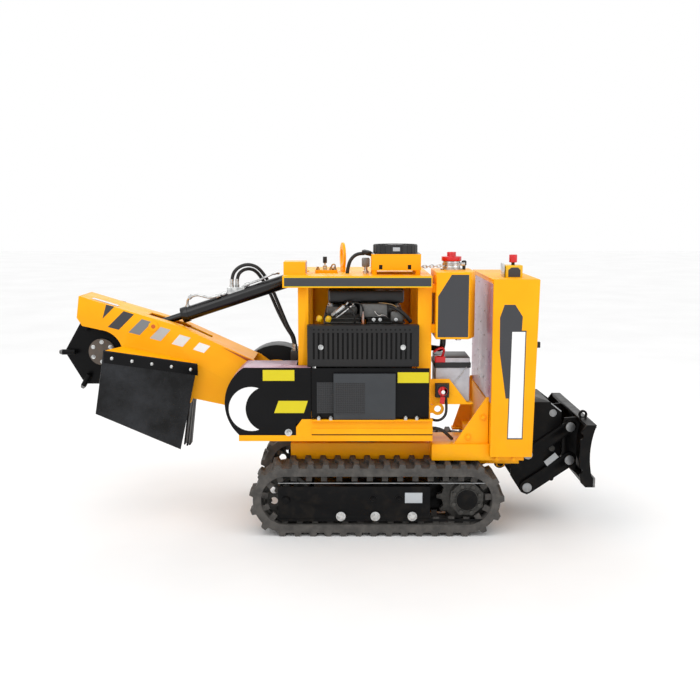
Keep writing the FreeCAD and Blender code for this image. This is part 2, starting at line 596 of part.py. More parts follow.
def engine_deck():
    deck = box(DECK_X0, DECK_X1, -DECK_HALF, DECK_HALF, DECK_LOW, DECK_HIGH)
    notch = box(DECK_X0 - 1, NOTCH_X, -NOTCH_HALF, NOTCH_HALF, DECK_LOW - 1, DECK_HIGH + 1)
    rail = plate_y([(RAIL_X0, DECK_HIGH), (RAIL_X0, DECK_HIGH + 39), (RAIL_X0 + 28, RAIL_HIGH),
                    (DECK_X1 - 1, RAIL_HIGH), (DECK_X1 - 1, DECK_HIGH)], -DECK_HALF, -DECK_HALF + 30)
    ears = both(bearing_plate(-NOTCH_HALF - EAR_T, -NOTCH_HALF))
    outer = bearing_plate(-298, -286)
    trunnion = rod_y(PIVOT_X, PIVOT_Z, TRUNNION_R, -NOTCH_HALF - EAR_T, -TRUNNION_IN_Y)
    body = join(deck.cut(notch), outer, *both(rail), *ears, *both(trunnion))
    return body.cut(rod_y(PIVOT_X, PIVOT_Z, SHAFT_R + RUN, -400, 400))


def engine_frame():
    y = TOP_HALF
    parts = both(box(TOP_X0, TOP_X1, -y, -y + 40, TOP_LOW, TOP_HIGH))
    parts.append(box(TOP_X1 - 40, TOP_X1, -y, y, TOP_LOW, TOP_HIGH))
    parts += both(box(TOP_X0, TOP_X0 + 40, -y, -60, TOP_LOW, TOP_HIGH))
    parts.append(box(-60, -20, -y, y, TOP_LOW, TOP_HIGH - 5))
    lid = box(TOP_X0, TOP_X1, -y, y, TOP_HIGH - 6, TOP_HIGH)
    lid = lid.cut([box(TOP_X0 - 1, -60, -60, 60, TOP_HIGH - 9, TOP_HIGH + 1),
                   box(270, 452, -230, -40, TOP_HIGH - 9, TOP_HIGH + 1)])
    parts.append(lid)
    for x0, x1 in POSTS:
        parts += both(box(x0, x1, -POST_Y - POST_HALF, -POST_Y + POST_HALF, DECK_HIGH, TOP_LOW + 1))
    parts.append(box(POSTS[0][1] - 1, POSTS[1][0] + 1, POST_Y + POST_HALF - 6, POST_Y + POST_HALF, 900, TOP_LOW + 1))
    lug = plate_y([(-150, 1172), (-90, 1172), (-59, TOP_LOW + 3), (-59, TOP_HIGH), (-150, TOP_HIGH)], -60, -46)
    parts += both(lug)
    right = POSTS[1][1]
    for z in (960, 1150):
        parts.append(box(right - 1, TANK_X0, -290, -250, z, z + 40))
    parts.append(box(right - 1, BATTERY_X1 + 14, -262, -20, BATTERY_Z - 8, BATTERY_Z))
    parts.append(plate_y([(right - 1, BATTERY_Z - 8), (711, BATTERY_Z - 8), (617, 735), (right - 1, 735)], -262, -256))
    parts.append(join(box(right - 1, EYE_X, -266, -254, EYE_Z - 20, EYE_Z + 20), rod_y(EYE_X, EYE_Z, 30, -266, -254)))
    box_shell = box(-170, -66, -240, -100, TOP_HIGH - 1, TOP_HIGH + 59)
    parts.append(box_shell.cut(box(-166, -70, -236, -104, TOP_HIGH + 4, TOP_HIGH + 55)))
    frame = join(*parts)
    return frame.cut([rod_y(*LIFT_F, PIN_R + RUN, -99, 99), rod_y(EYE_X, EYE_Z, EYE_BORE_R, -270, -250),
                      rod_y(ISO_X, ISO_Z, 9, -263, -255)])


def hydraulic_tank():
    plan = [(TANK_X0, TANK_Y0), (TANK_X1 - 35, TANK_Y0), (TANK_X1, TANK_Y0 + 80), (TANK_X1, TANK_Y1),
            (TANK_X0, TANK_Y1)]
    w = TANK_WALL
    inner = [(TANK_X0 + w, TANK_Y0 + w), (TANK_X1 - 35 - w, TANK_Y0 + w), (TANK_X1 - w, TANK_Y0 + 80 + w),
             (TANK_X1 - w, TANK_Y1 - w), (TANK_X0 + w, TANK_Y1 - w)]
    shell = plate_z(plan, TANK_LOW, TANK_HIGH).cut(plate_z(inner, TANK_LOW + w, TANK_HIGH - w))
    neck = rod_z(CAP_X, CAP_Y, NECK_R, TANK_HIGH - 1, TANK_HIGH + NECK_HIGH)
    return join(shell, neck).cut(rod_z(CAP_X, CAP_Y, NECK_BORE_R + RUN, TANK_HIGH - 9, TANK_HIGH + NECK_HIGH + 1))


def filler_cap():
    top = TANK_HIGH + NECK_HIGH
    spigot = rod_z(CAP_X, CAP_Y, NECK_BORE_R, top - 16, top + 2)
    lid = rod_z(CAP_X, CAP_Y, 48, top + GAP, top + 22)
    return join(spigot, lid, rod_z(CAP_X, CAP_Y, 22, top + 21, top + 43))


def battery():
    return box(BATTERY_X0, BATTERY_X1, -240, -50, BATTERY_Z, BATTERY_Z + 217)


def battery_isolator():
    case = box(ISO_X - 31, ISO_X + 31, -290, -262, ISO_Z - 32, ISO_Z + 32)
    return case.cut(rod_y(ISO_X, ISO_Z, 8 + RUN, -300, -270))


def isolator_key():
    stem = rod_y(ISO_X, ISO_Z, 8, -300, -272)
    collar = rod_y(ISO_X, ISO_Z, 22, -302, -292)
    return join(stem, collar, box(ISO_X - 6, ISO_X + 6, -318, -301, ISO_Z - 20, ISO_Z + 20))


def oil_cooler():
    low = TOP_HIGH + COOLER_FOOT
    x0, x1, y0, y1 = COOLER_X0, COOLER_X1, COOLER_Y0, COOLER_Y1
    case = box(x0, x1, y0, y1, low, COOLER_TOP).cut(box(x0 + 12, x1 - 12, y0 + 12, y1 - 12, low + 40, COOLER_TOP + 1))
    cx, cy = (x0 + x1) / 2, (y0 + y1) / 2
    lid = box(x0, x1, y0, y1, COOLER_TOP - 4, COOLER_TOP).cut(rod_z(cx, cy, FAN_R + 4, COOLER_TOP - 9, COOLER_TOP + 9))
    wall = rod_z(cx, cy, FAN_R + 9, COOLER_TOP - 1, COOLER_TOP + FAN_HIGH)
    wall = wall.cut(rod_z(cx, cy, FAN_R + 4, COOLER_TOP - 9, COOLER_TOP + FAN_HIGH + 1))
    hub = rod_z(cx, cy, 34, COOLER_TOP + 26, COOLER_TOP + FAN_HIGH)
    arms = []
    for i in range(3):
        arm = box(cx - FAN_R - 6, cx + FAN_R + 6, cy - 4, cy + 4, COOLER_TOP + FAN_HIGH - 6, COOLER_TOP + FAN_HIGH)
        arm.rotate(vec(cx, cy, 0), vec(0, 0, 1), 60 * i)
        arms.append(arm)
    feet = [rod_z(x, y, 12, TOP_HIGH, low + 1) for x in (x0 + 14, x1 - 14) for y in (y0 + 14, y1 - 14)]
    body = join(case, lid, wall, hub, *arms, *feet)
    return body.cut(rod_z(cx, cy, 8 + RUN, COOLER_TOP + 20, COOLER_TOP + 38))


def cooler_fan():
    cx, cy = (COOLER_X0 + COOLER_X1) / 2, (COOLER_Y0 + COOLER_Y1) / 2
    z = COOLER_TOP
    blades = []
    for i in range(FAN_BLADES):
        blade = box(cx + 20, cx + FAN_R, cy - 17, cy + 17, z + 12, z + 16)
        blade.rotate(vec(cx, cy, z + 14), vec(1, 0, 0), 22)
        blade.rotate(vec(cx, cy, 0), vec(0, 0, 1), 360.0 * i / FAN_BLADES)
        blades.append(blade)
    hub = rod_z(cx, cy, 30, z + 3, z + 24)
    return join(hub, rod_z(cx, cy, 8, z + 23, z + 36), *blades)


def lifting_eye():
    disc = bar((LIFT_EYE_X - 6, 0, LIFT_EYE_Z), (LIFT_EYE_X + 6, 0, LIFT_EYE_Z), 70)
    foot = box(LIFT_EYE_X - 6, LIFT_EYE_X + 6, -48, 48, TOP_HIGH, LIFT_EYE_Z)
    hole = bar((LIFT_EYE_X - 9, 0, LIFT_EYE_Z), (LIFT_EYE_X + 9, 0, LIFT_EYE_Z), LIFT_EYE_BORE)
    plate = join(disc, foot).cut([hole, box(0, 300, -99, 99, 1200, TOP_HIGH)])
    plate.rotate(vec(LIFT_EYE_X, 0, 0), vec(0, 0, 1), 9)
    return plate


def valve_block():
    block = box(-25, 82, LEVER_Y - 32, LEVER_Y + 32, TOP_HIGH, TOP_HIGH + 14)
    ears = []
    for y in (LEVER_Y - 14, LEVER_Y + 8):
        ears.append(box(LEVER_X - 10, LEVER_X + 10, y, y + 6, TOP_HIGH + 13, LEVER_Z + 9))
    return join(block, *ears).cut(rod_y(LEVER_X, LEVER_Z, 4 + RUN, LEVER_Y - 40, LEVER_Y + 40))


def control_lever():
    hub = rod_y(LEVER_X, LEVER_Z, 9, LEVER_Y - 7.5, LEVER_Y + 7.5)
    pin = rod_y(LEVER_X, LEVER_Z, 4, LEVER_Y - 15, LEVER_Y + 15)
    return join(hub, pin, rod_z(LEVER_X, LEVER_Y, 5, LEVER_Z, LEVER_Z + 30),
                rod_z(LEVER_X, LEVER_Y, 10, LEVER_Z + 22, LEVER_Z + 52))


def engine_block():
    """Crankcase, two cylinder heads in a V, the intake between them, feet and the bearing boss."""
    x0, x1 = ENGINE_X0, ENGINE_X1
    case = box(x0, x1, ENGINE_Y0, ENGINE_Y1, ENGINE_LOW, ENGINE_HIGH)
    heads = []
    for x in (x0 + 40, x1 - 210):
        heads.append(box(x, x + 170, ENGINE_Y0 + 65, ENGINE_Y1 - 40, ENGINE_HIGH - 1, HEAD_HIGH))
    intake = box(130, 300, -80, 90, HEAD_HIGH - 40, HEAD_HIGH + 50)
    feet = []
    for x in (x0 + 10, x1 - 60):
        for y in (ENGINE_Y0 + 10, ENGINE_Y1 - 60):
            feet.append(box(x, x + 50, y, y + 50, DECK_HIGH, ENGINE_LOW + 1))
    boss = rod_y(ENGINE_X, ENGINE_Z, 45, ENGINE_Y0 - 35, ENGINE_Y0 + 1)
    engine = join(case, intake, boss, *heads, *feet)
    return engine.cut(rod_y(ENGINE_X, ENGINE_Z, 20 + RUN, ENGINE_Y0 - 50, ENGINE_Y0 + 50))


def lift_pump():
    return box(PUMP_X0, ENGINE_X0, 44, 112, PUMP_TOP - 48, PUMP_TOP)


def air_filter():
    return box(39, 403, -180, 160, HEAD_HIGH + 50, HEAD_HIGH + 120)


def engine_pulley():
    shaft = rod_y(ENGINE_X, ENGINE_Z, 20, -BELT_SPAN, ENGINE_Y0 + 45)
    return join(shaft, pulley(ENGINE_X, ENGINE_Z, SMALL_PULLEY_R, BELT_Y0, BELT_Y1))


def pulley(x, z, r, y0, y1):
    rims = [rod_y(x, z, r + BELT_T + 2, y0 - 5, y0 - 1), rod_y(x, z, r + BELT_T + 2, y1 + 1, y1 + 5)]
    return join(rod_y(x, z, r, y0 - 2, y1 + 2), *rims)


def belt(a, ra, b, rb, y0, y1):
    outer = strap(a, ra + GAP + BELT_T, b, rb + GAP + BELT_T, y0, y1)
    return outer.cut(strap(a, ra + GAP, b, rb + GAP, y0 - 1, y1 + 1))


def jackshaft():
    shaft = rod_y(PIVOT_X, PIVOT_Z, SHAFT_R, -BELT_SPAN, NOTCH_HALF + EAR_T - 2)
    big = pulley(PIVOT_X, PIVOT_Z, BIG_PULLEY_R, BELT_Y0, BELT_Y1)
    small = pulley(PIVOT_X, PIVOT_Z, JACK_PULLEY_R, BOOM_BELT_Y0, BOOM_BELT_Y1)
    return join(shaft, big, small)


def guard_outline(inset, y0, y1, x1):
    disc = rod_y(PIVOT_X, PIVOT_Z, GUARD_R - inset, y0, y1)
    tail = box(PIVOT_X, x1, y0, y1, 300, GUARD_TOP - inset)
    shape = join(disc, tail)
    low = DECK_HIGH + GAP if inset == 0 else 200
    return shape.common(box(-600, x1, y0, y1, low, GUARD_TOP - inset))


def belt_guard():
    deep = guard_outline(0, SKIN_Y, GUARD_DEEP_Y, GUARD_DEEP_X)
    deep = deep.cut(guard_outline(SHEET, SKIN_Y + SHEET, GUARD_DEEP_Y + 1, GUARD_DEEP_X + 1))
    thin = guard_outline(0, SKIN_Y, -300, GUARD_X1).cut(box(-600, GUARD_DEEP_X - SHEET, -400, 0, 400, 900))
    thin = thin.cut(guard_outline(SHEET, SKIN_Y + SHEET, -299, GUARD_X1 + 1))
    thin = thin.cut(box(GUARD_DEEP_X, GUARD_X1 + 1, SKIN_Y + SHEET, -299, 400, RAIL_HIGH + GAP))
    rail = box(RAIL_X0 - GAP, GUARD_X1 + 1, SKIN_Y - 1, -299, 400, RAIL_HIGH + GAP)
    return join(deep, thin).cut(rail)


def side_panel():
    x0, x1, z0, z1 = GUARD_X1 + 2, 513, RAIL_HIGH + 1, 805
    return box(x0, x1, SKIN_Y, SKIN_Y + SHEET, z0, z1).cut(box(85, 340, SKIN_Y - 1, SKIN_Y + 9, 590, 765))


def panel_stays():
    """Brackets that carry the side panel and the muffler guard from the right and left posts."""
    return [box(470, 505, SKIN_Y + SHEET, -POST_Y - POST_HALF, z, z + 12) for z in (620, 760)]


def fan_cover():
    x0, x1, z0, z1 = 67, 355, 565, 781
    shell = box(x0, x1, SKIN_Y - 18, SKIN_Y, z0, z1)
    return shell.cut(box(x0 + 3, x1 - 3, SKIN_Y - 15, SKIN_Y + 1, z0 + 3, z1 - 3))


def muffler_guard():
    x0, x1, z0, z1 = -55, 464, 811, 1003
    back = -POST_Y - POST_HALF - GAP
    shell = box(x0, x1, -360, back, z0, z1)
    shell = shell.cut(box(x0 + 3, x1 - 3, -357, back + 1, z0 + 3, z1 - 3))
    slots = [box(x, x + 9, -361, -355, z0 + 34, z1 - 34) for x in [x0 + 26 + 22.5 * i for i in range(21)]]
    return shell.cut(slots)


def exhaust_muffler():
    can = bar((20, -238, 900), (400, -238, 900), 45)
    saddles = [box(x, x + 20, -260, -216, 850, 870) for x in (80, 320)]
    pipe = bar((399, -238, 900), (432, -238, 900), 20)
    return join(can, pipe, *saddles)


def make_superstructure():
    save("engine_deck", engine_deck(), ring(RING_SPLIT + 0.5, DECK_LOW))
    save("engine_frame", join(engine_frame(), *panel_stays()))
    save("engine_block", engine_block(), lift_pump())
    save("engine_pulley", engine_pulley())
    save("exhaust_muffler", exhaust_muffler())
    save("air_filter", air_filter())
    save("muffler_guard", muffler_guard())
    save("fan_cover", fan_cover())
    save("side_panel", side_panel())
    save("belt_guard", belt_guard())
    save("jackshaft", jackshaft())
    ends = ((PIVOT_X, PIVOT_Z), BIG_PULLEY_R, (ENGINE_X, ENGINE_Z), SMALL_PULLEY_R)
    save("primary_belt", belt(*ends, BELT_Y0, BELT_Y1))
    save("hydraulic_tank", hydraulic_tank())
    save("filler_cap", filler_cap())
    save("battery", battery())
    save("battery_isolator", battery_isolator())
    save("isolator_key", isolator_key())
    save("oil_cooler", oil_cooler())
    save("cooler_fan", cooler_fan())
    save("lifting_eye", lifting_eye())
    save("valve_block", valve_block())
    save("control_lever", control_lever())


# ---- boom and cutter ----

def boom_top(x):
    """Height of the boom's top edge: two straight stretches."""
    return 1118 - 0.306 * (x + 1174) if x < -690 else 970 - 0.459 * (x + 690)


def boom_side(near):
    top = [(-1174, 1118), (-690, boom_top(-690)), (-313, boom_top(-313))]
    low = [(PIVOT_X - 20, PIVOT_Z - BOOM_END_R + 1), (-479, 580), (-624, 611), (-995, 884)]
    tip = [(-1034, 932), (-1085, 955), (-1163, 972), (-1188, 1012)]
    y0, y1 = (-BOOM_HALF, -BOOM_HALF + BOOM_T) if near else (BOOM_HALF - BOOM_T, BOOM_HALF)
    plate = join(plate_y(top + [(PIVOT_X, PIVOT_Z + 100)] + low + tip, y0, y1),
                 rod_y(PIVOT_X, PIVOT_Z, BOOM_END_R, y0, y1))
    if near:
        return plate.cut(rod_y(CUT_X, CUT_Z, 118, y0 - 1, y1 + 1))
    return join(plate, belt_case_outline(CASE_R, y0, y1))


def belt_case_outline(r, y0, y1):
    return strap((PIVOT_X, PIVOT_Z), r, (CUT_X, CUT_Z), r, y0, y1)


def cross_plate(a, b, t):
    """A plate right across the boom, under the line from a to b."""
    far = math.hypot(b[0] - a[0], b[1] - a[1])
    nx, nz = (b[1] - a[1]) / far * t, -(b[0] - a[0]) / far * t
    half = BOOM_HALF - BOOM_T + 1
    return plate_y([a, b, (b[0] + nx, b[1] + nz), (a[0] + nx, a[1] + nz)], -half, half)


def flap_bracket():
    ax, ay = FLAP_A
    bx, by = FLAP_B
    slope = (790.0 - 881.0) / (bx - ax)
    plan = [(ax, ay), (bx, by), (bx - 20, -BOOM_HALF + 1), (ax + 42, -BOOM_HALF + 1)]
    plate = plate_z(plan, 500, 1100)
    band = [(-1100, 881 + slope * (-1100 - ax)), (-500, 881 + slope * (-500 - ax))]
    slab = plate_y(band + [(x, z - 5) for x, z in reversed(band)], -400, 0)
    return plate.common(slab)


def boom_arm():
    half = BOOM_HALF
    parts = [boom_side(True), boom_side(False)]
    parts.append(cross_plate((-1174, 1118), (-690, boom_top(-690)), 6))
    parts.append(cross_plate((-690, boom_top(-690)), (-330, boom_top(-330)), 6))
    parts.append(cross_plate((-1186, 1040), (-1174, 1118), 6))
    parts.append(cross_plate((-624, 611), (-872, 611 + 248 * 273 / 371), 6))
    parts.append(cross_plate((-400, 563), (-624, 611), 6))
    wall = belt_case_outline(CASE_R, CASE_Y, CASE_Y + PLATE)
    rim = belt_case_outline(CASE_R, CASE_Y, half - 1).cut(belt_case_outline(CASE_R - 5, CASE_Y - 1, half))
    keep = box(-1400, -640, 0, 200, 300, 1300)
    parts += [wall.common(keep), rim.common(keep)]
    parts += both(rod_y(PIVOT_X, PIVOT_Z, 62, -NOTCH_HALF + 0.5, -TRUNNION_IN_Y + 2))
    parts.append(rod_y(*LIFT_B, PIN_R, -half - 3, half + 3))
    parts += both(rod_y(*LIFT_B, 24, -half - 6, -half + 1))
    parts.append(flap_bracket())
    parts.append(rod_y(CURTAIN_X, CURTAIN_Z, CURTAIN_R, -half + 1, half - 1))
    parts += both(strap((CURTAIN_X, CURTAIN_Z), 10, (CURTAIN_X + 16, CURTAIN_Z + 46), 14, -half, -half + BOOM_T))
    arm = join(*parts)
    slot = join(box(-855, -655, -LIFT_R - 10, LIFT_R + 10, 880, 1060),
                box(-656, -545, -LIFT_ROD_R - 8, LIFT_ROD_R + 8, 880, 1060))
    slot = slot.cut(rod_y(*LIFT_B, PIN_R, -99, 99))
    tunnel = belt_case_outline(CASE_R - 5, CASE_Y + PLATE, half - BOOM_T).common(box(-1400, -500, 0, 200, 300, 1300))
    cuts = [rod_y(PIVOT_X, PIVOT_Z, TRUNNION_R + RUN, -200, 200), rod_y(CUT_X, CUT_Z, 22 + RUN, 0, 200), slot, tunnel]
    return arm.cut(cuts)


def cutter_wheel():
    points = [(CUT_X + HEX_R * math.cos(math.radians(60 * i)), CUT_Z + HEX_R * math.sin(math.radians(60 * i)))
              for i in range(6)]
    disc = plate_y(points, -48, -22)
    hub = rod_y(CUT_X, CUT_Z, 68, -60, 22)
    return join(disc, hub).cut(rod_y(CUT_X, CUT_Z, 22 + GAP, -30, 30))


def cutter_shaft():
    return join(rod_y(CUT_X, CUT_Z, 22, -29, BOOM_HALF + 4), pulley(CUT_X, CUT_Z, CUT_PULLEY_R, BOOM_BELT_Y0,
                                                                    BOOM_BELT_Y1))


def cutter_tooth(angle):
    """One tooth: a round holder across a corner of the disc, with a blunt tip."""
    a = math.radians(angle)
    out = vec(math.cos(a), 0, math.sin(a))
    centre = vec(CUT_X, -62, CUT_Z)
    shank = Part.makeCylinder(13.5, 63, centre + out * 132, out)
    tip = Part.makeCone(14, 9, TIP_R - 193.5, centre + out * 194, out)
    return join(shank, tip)


def cutter_teeth():
    return [cutter_tooth(60 * i) for i in range(6)]


def rubber_flap():
    """The side flap hangs from the slanting bracket, square to the ground."""
    far = math.hypot(FLAP_B[0] - FLAP_A[0], FLAP_B[1] - FLAP_A[1])
    outline = [(0, 884), (far, 793), (far - 93, 375), (-47, 585)]
    ux, uy = (FLAP_B[0] - FLAP_A[0]) / far, (FLAP_B[1] - FLAP_A[1]) / far
    ring_points = [vec(FLAP_A[0] + s * ux, FLAP_A[1] + s * uy, z) for s, z in outline]
    sheet = Part.Face(Part.makePolygon(ring_points + ring_points[:1])).extrude(vec(uy * 8, -ux * 8, 0))
    return sheet


def curtain_strip(y0, low):
    """A rubber strip with a loop round the hanger rod."""
    loop = rod_y(CURTAIN_X, CURTAIN_Z, CURTAIN_R + 5, y0, y0 + 70)
    sheet = plate_y([(CURTAIN_X - 7, CURTAIN_Z - 5), (CURTAIN_X + 1, CURTAIN_Z - 5), (CURTAIN_X - 29, low),
                     (CURTAIN_X - 37, low)], y0, y0 + 70)
    return join(loop, sheet).cut(rod_y(CURTAIN_X, CURTAIN_Z, CURTAIN_R + RUN, y0 - 1, y0 + 71))


def rear_curtain():
    """Three rubber strips hang under the boom behind the cutter."""
    return [curtain_strip(-108 + 73 * i, low) for i, low in enumerate((375, 350, 335))]


def cord(points, r, name):
    """A round cord on straight runs that are joined by tangent arcs."""
    pts = [vec(*p) for p in points]
    edges, start, length, radii = [], pts[0], 0.0, []
    for before, here, after in zip(pts, pts[1:], pts[2:]):
        a, b = here.sub(before), after.sub(here)
        turn = a.getAngle(b)
        cut = 0.45 * min(a.Length, b.Length)
        radius = cut / math.tan(turn / 2)
        radii.append(radius)
        into = here.sub(vec(*a).normalize().multiply(cut))
        out = here.add(vec(*b).normalize().multiply(cut))
        bisector = out.add(into).multiply(0.5).sub(here)
        middle = here.add(bisector.normalize().multiply(radius / math.cos(turn / 2) - radius))
        edges += [Part.LineSegment(start, into).toShape(), Part.Arc(into, middle, out).toShape()]
        length += start.distanceToPoint(into) + radius * turn
        start = out
    edges.append(Part.LineSegment(start, pts[-1]).toShape())
    length += start.distanceToPoint(pts[-1])
    wire = Part.Wire(edges)
    profile = Part.Wire(Part.makeCircle(r, pts[0], pts[1].sub(pts[0])))
    tube = wire.makePipeShell([profile], True, True)
    share = tube.Volume / (math.pi * r * r * length)
    print(name, "length", round(length), "radii", [round(v) for v in radii], "volume share", round(share, 4))
    return tube


# Two hoses rise from the ram's port block, turn over it one inside the other and run down beside the ram
# to the pump on the engine.
HOSE_ROUTES = {
    "lift_hose_front": (
        (-444, -4, 1152), (-444, -4, 1210), (-412, 0, 1251), (-364, 8, 1267), (-316, 20, 1251), (-285, 38, 1210),
        (-258, 56, 1162), (-236, 61, 1108), (-214, 61, 1054), (-192, 60, 998), (-168, 60, 940), (-134, 62, 884),
        (-134, 62, 823),
    ),
    "lift_hose_back": (
        (-420, 16, 1152), (-420, 16, 1202), (-398, 20, 1232), (-364, 32, 1243), (-330, 46, 1232), (-302, 62, 1194),
        (-276, 80, 1146), (-252, 88, 1092), (-230, 88, 1038), (-204, 88, 982), (-176, 88, 930), (-142, 88, 880),
        (-142, 88, 823),
    ),
}


def make_boom():
    save("boom_arm", boom_arm())
    save("boom_belt", belt((PIVOT_X, PIVOT_Z), JACK_PULLEY_R, (CUT_X, CUT_Z), CUT_PULLEY_R, BOOM_BELT_Y0,
                           BOOM_BELT_Y1))
    save("cutter_wheel", cutter_wheel())
    save("cutter_shaft", cutter_shaft())
    save("cutter_teeth", *cutter_teeth())
    save("rubber_flap", rubber_flap())
    save("rear_curtain", *rear_curtain())
    for name, route in HOSE_ROUTES.items():
        save(name, cord(route, HOSE_R, name))


os.makedirs("parts", exist_ok=True)
make_tracks()
make_chassis()
make_rams()
make_superstructure()
make_boom()
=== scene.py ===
import bpy
import json
import math
from mathutils import Matrix, Vector


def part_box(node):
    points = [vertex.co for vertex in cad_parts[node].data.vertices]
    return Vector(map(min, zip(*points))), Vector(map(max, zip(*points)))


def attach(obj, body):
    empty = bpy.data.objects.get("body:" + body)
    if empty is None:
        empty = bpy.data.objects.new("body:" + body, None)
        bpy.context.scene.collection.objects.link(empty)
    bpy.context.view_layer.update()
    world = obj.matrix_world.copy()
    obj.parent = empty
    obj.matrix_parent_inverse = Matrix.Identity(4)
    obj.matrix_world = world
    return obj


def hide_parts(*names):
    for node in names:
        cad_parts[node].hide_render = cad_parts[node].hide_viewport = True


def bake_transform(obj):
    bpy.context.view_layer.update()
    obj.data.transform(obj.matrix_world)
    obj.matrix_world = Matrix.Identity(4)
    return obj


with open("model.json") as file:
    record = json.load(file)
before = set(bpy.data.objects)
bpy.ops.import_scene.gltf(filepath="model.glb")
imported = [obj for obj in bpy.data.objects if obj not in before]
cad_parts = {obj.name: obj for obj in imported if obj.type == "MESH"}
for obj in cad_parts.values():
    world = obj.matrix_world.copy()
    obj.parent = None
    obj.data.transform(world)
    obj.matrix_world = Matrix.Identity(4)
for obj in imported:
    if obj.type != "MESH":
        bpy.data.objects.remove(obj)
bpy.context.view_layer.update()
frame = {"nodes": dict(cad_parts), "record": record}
NODES = frame["nodes"]
BODY_OF = {}
for body, members in frame["record"]["behaviour"]["bodies"].items():
    for member in members:
        BODY_OF[member] = body

# ---- camera ----

def add_camera():
    bpy.ops.object.camera_add(location=(0.1435, -4.70, 1.538), rotation=(math.radians(81.5), 0, 0))
    camera = bpy.context.object
    camera.data.lens = 48.65
    camera.data.sensor_width = 36
    bpy.context.scene.camera = camera
    bpy.context.scene.view_settings.view_transform = "Standard"


add_camera()

# ---- lift hoses: one smooth line each, from the ram's port block to the pump ----
HOSE_WIDE = 0.017
FRONT_HOSE = [
    (-0.444, -0.004, 1.152), (-0.444, -0.004, 1.210), (-0.412, 0.000, 1.251), (-0.364, 0.008, 1.267),
    (-0.316, 0.020, 1.251), (-0.285, 0.038, 1.210), (-0.258, 0.056, 1.162), (-0.236, 0.061, 1.108),
    (-0.214, 0.061, 1.054), (-0.192, 0.060, 0.998), (-0.168, 0.060, 0.940), (-0.134, 0.062, 0.884),
    (-0.134, 0.062, 0.823),
]
BACK_HOSE = [
    (-0.420, 0.016, 1.152), (-0.420, 0.016, 1.202), (-0.398, 0.020, 1.232), (-0.364, 0.032, 1.243),
    (-0.330, 0.046, 1.232), (-0.302, 0.062, 1.194), (-0.276, 0.080, 1.146), (-0.252, 0.088, 1.092),
    (-0.230, 0.088, 1.038), (-0.204, 0.088, 0.982), (-0.176, 0.088, 0.930), (-0.142, 0.088, 0.880),
    (-0.142, 0.088, 0.823),
]


def smooth_line(name, points, half):
    """An open NURBS curve along the points, as thick as asked."""
    data = bpy.data.curves.new(name, "CURVE")
    data.dimensions = "3D"
    spline = data.splines.new("NURBS")
    spline.points.add(len(points) - 1)
    for control, place in zip(spline.points, points):
        control.co = (*place, 1)
    spline.order_u = 3
    spline.use_endpoint_u = True
    spline.resolution_u = 8
    data.bevel_depth = half
    data.bevel_resolution = 5
    data.use_fill_caps = True
    made = bpy.data.objects.new(name, data)
    bpy.context.scene.collection.objects.link(made)
    return made


# ---- places that several pieces share ----
CUTTER_X, CUTTER_Z = -1.087, 0.835      # centre of the cutter disc
SPROCKET_X, SPROCKET_Z = 0.697, 0.175   # centre of the drive sprockets
ROLLER_XS = (0.100, 0.263, 0.438)       # axles of the lower rollers
AXLE_Z = 0.099
BOOM_PIN_X, BOOM_PIN_Z = -0.815, 0.970  # the ram's pin through the boom
BOOM_FACE = (0.1198, 0.1206)            # film on the boom's side plates
COVER_FACE = (-0.3706, -0.3698)         # film on the belt guard and the side panel
LINK_FACE = 0.1885                      # just outside the blade links' outer faces
TOWER_FACE = 0.172                      # outer face of the blade mount's plates
COOLER_TOP = 1.3268
FAN_X, FAN_Y = 0.361, -0.135            # centre of the cooler fan
NECK_X, NECK_Y = 0.633, -0.12           # centre of the tank's filler neck

# ---- shader helpers ----

def linear(code):
    """An sRGB hex colour as linear red, green, blue and alpha."""
    parts = [int(code[i:i + 2], 16) / 255 for i in (1, 3, 5)]
    return tuple([p / 12.92 if p <= 0.04045 else ((p + 0.055) / 1.055) ** 2.4 for p in parts] + [1.0])


def node(tree, kind, values=None, **settings):
    """Adds a shader node with its settings; each value is a number, a colour or a socket to link."""
    made = tree.nodes.new("ShaderNode" + kind)
    for key, value in settings.items():
        setattr(made, key, value)
    for key, value in (values or {}).items():
        if isinstance(value, bpy.types.NodeSocket):
            tree.links.new(value, made.inputs[key])
        else:
            made.inputs[key].default_value = value
    return made


def start_material(name, **shader):
    made = bpy.data.materials.new(name)
    made.use_nodes = True
    tree = made.node_tree
    surface = tree.nodes["Principled BSDF"]
    for key, value in shader.items():
        surface.inputs[key.replace("_", " ")].default_value = value
    place = node(tree, "TexCoord").outputs["Object"]
    return made, tree, surface, place


def noise(tree, place, size_mm, detail=3.0, rough=0.55):
    """Cloudy noise with patches about size_mm across."""
    return node(tree, "TexNoise", {"Vector": place, "Scale": 1000 / size_mm, "Detail": detail,
                                   "Roughness": rough}).outputs["Fac"]


def ramp(tree, value, low, high, start=0.0, end=1.0):
    return node(tree, "MapRange", {"Value": value, "From Min": low, "From Max": high, "To Min": start,
                                   "To Max": end}).outputs["Result"]


def mixed(tree, share, a, b):
    """Two colours mixed by a share."""
    return node(tree, "Mix", {0: share, 6: a, 7: b}, data_type="RGBA").outputs[2]


def bumped(tree, surface, height, distance, strength=1.0):
    bump = node(tree, "Bump", {"Height": height, "Distance": distance, "Strength": strength})
    tree.links.new(bump.outputs["Normal"], surface.inputs["Normal"])


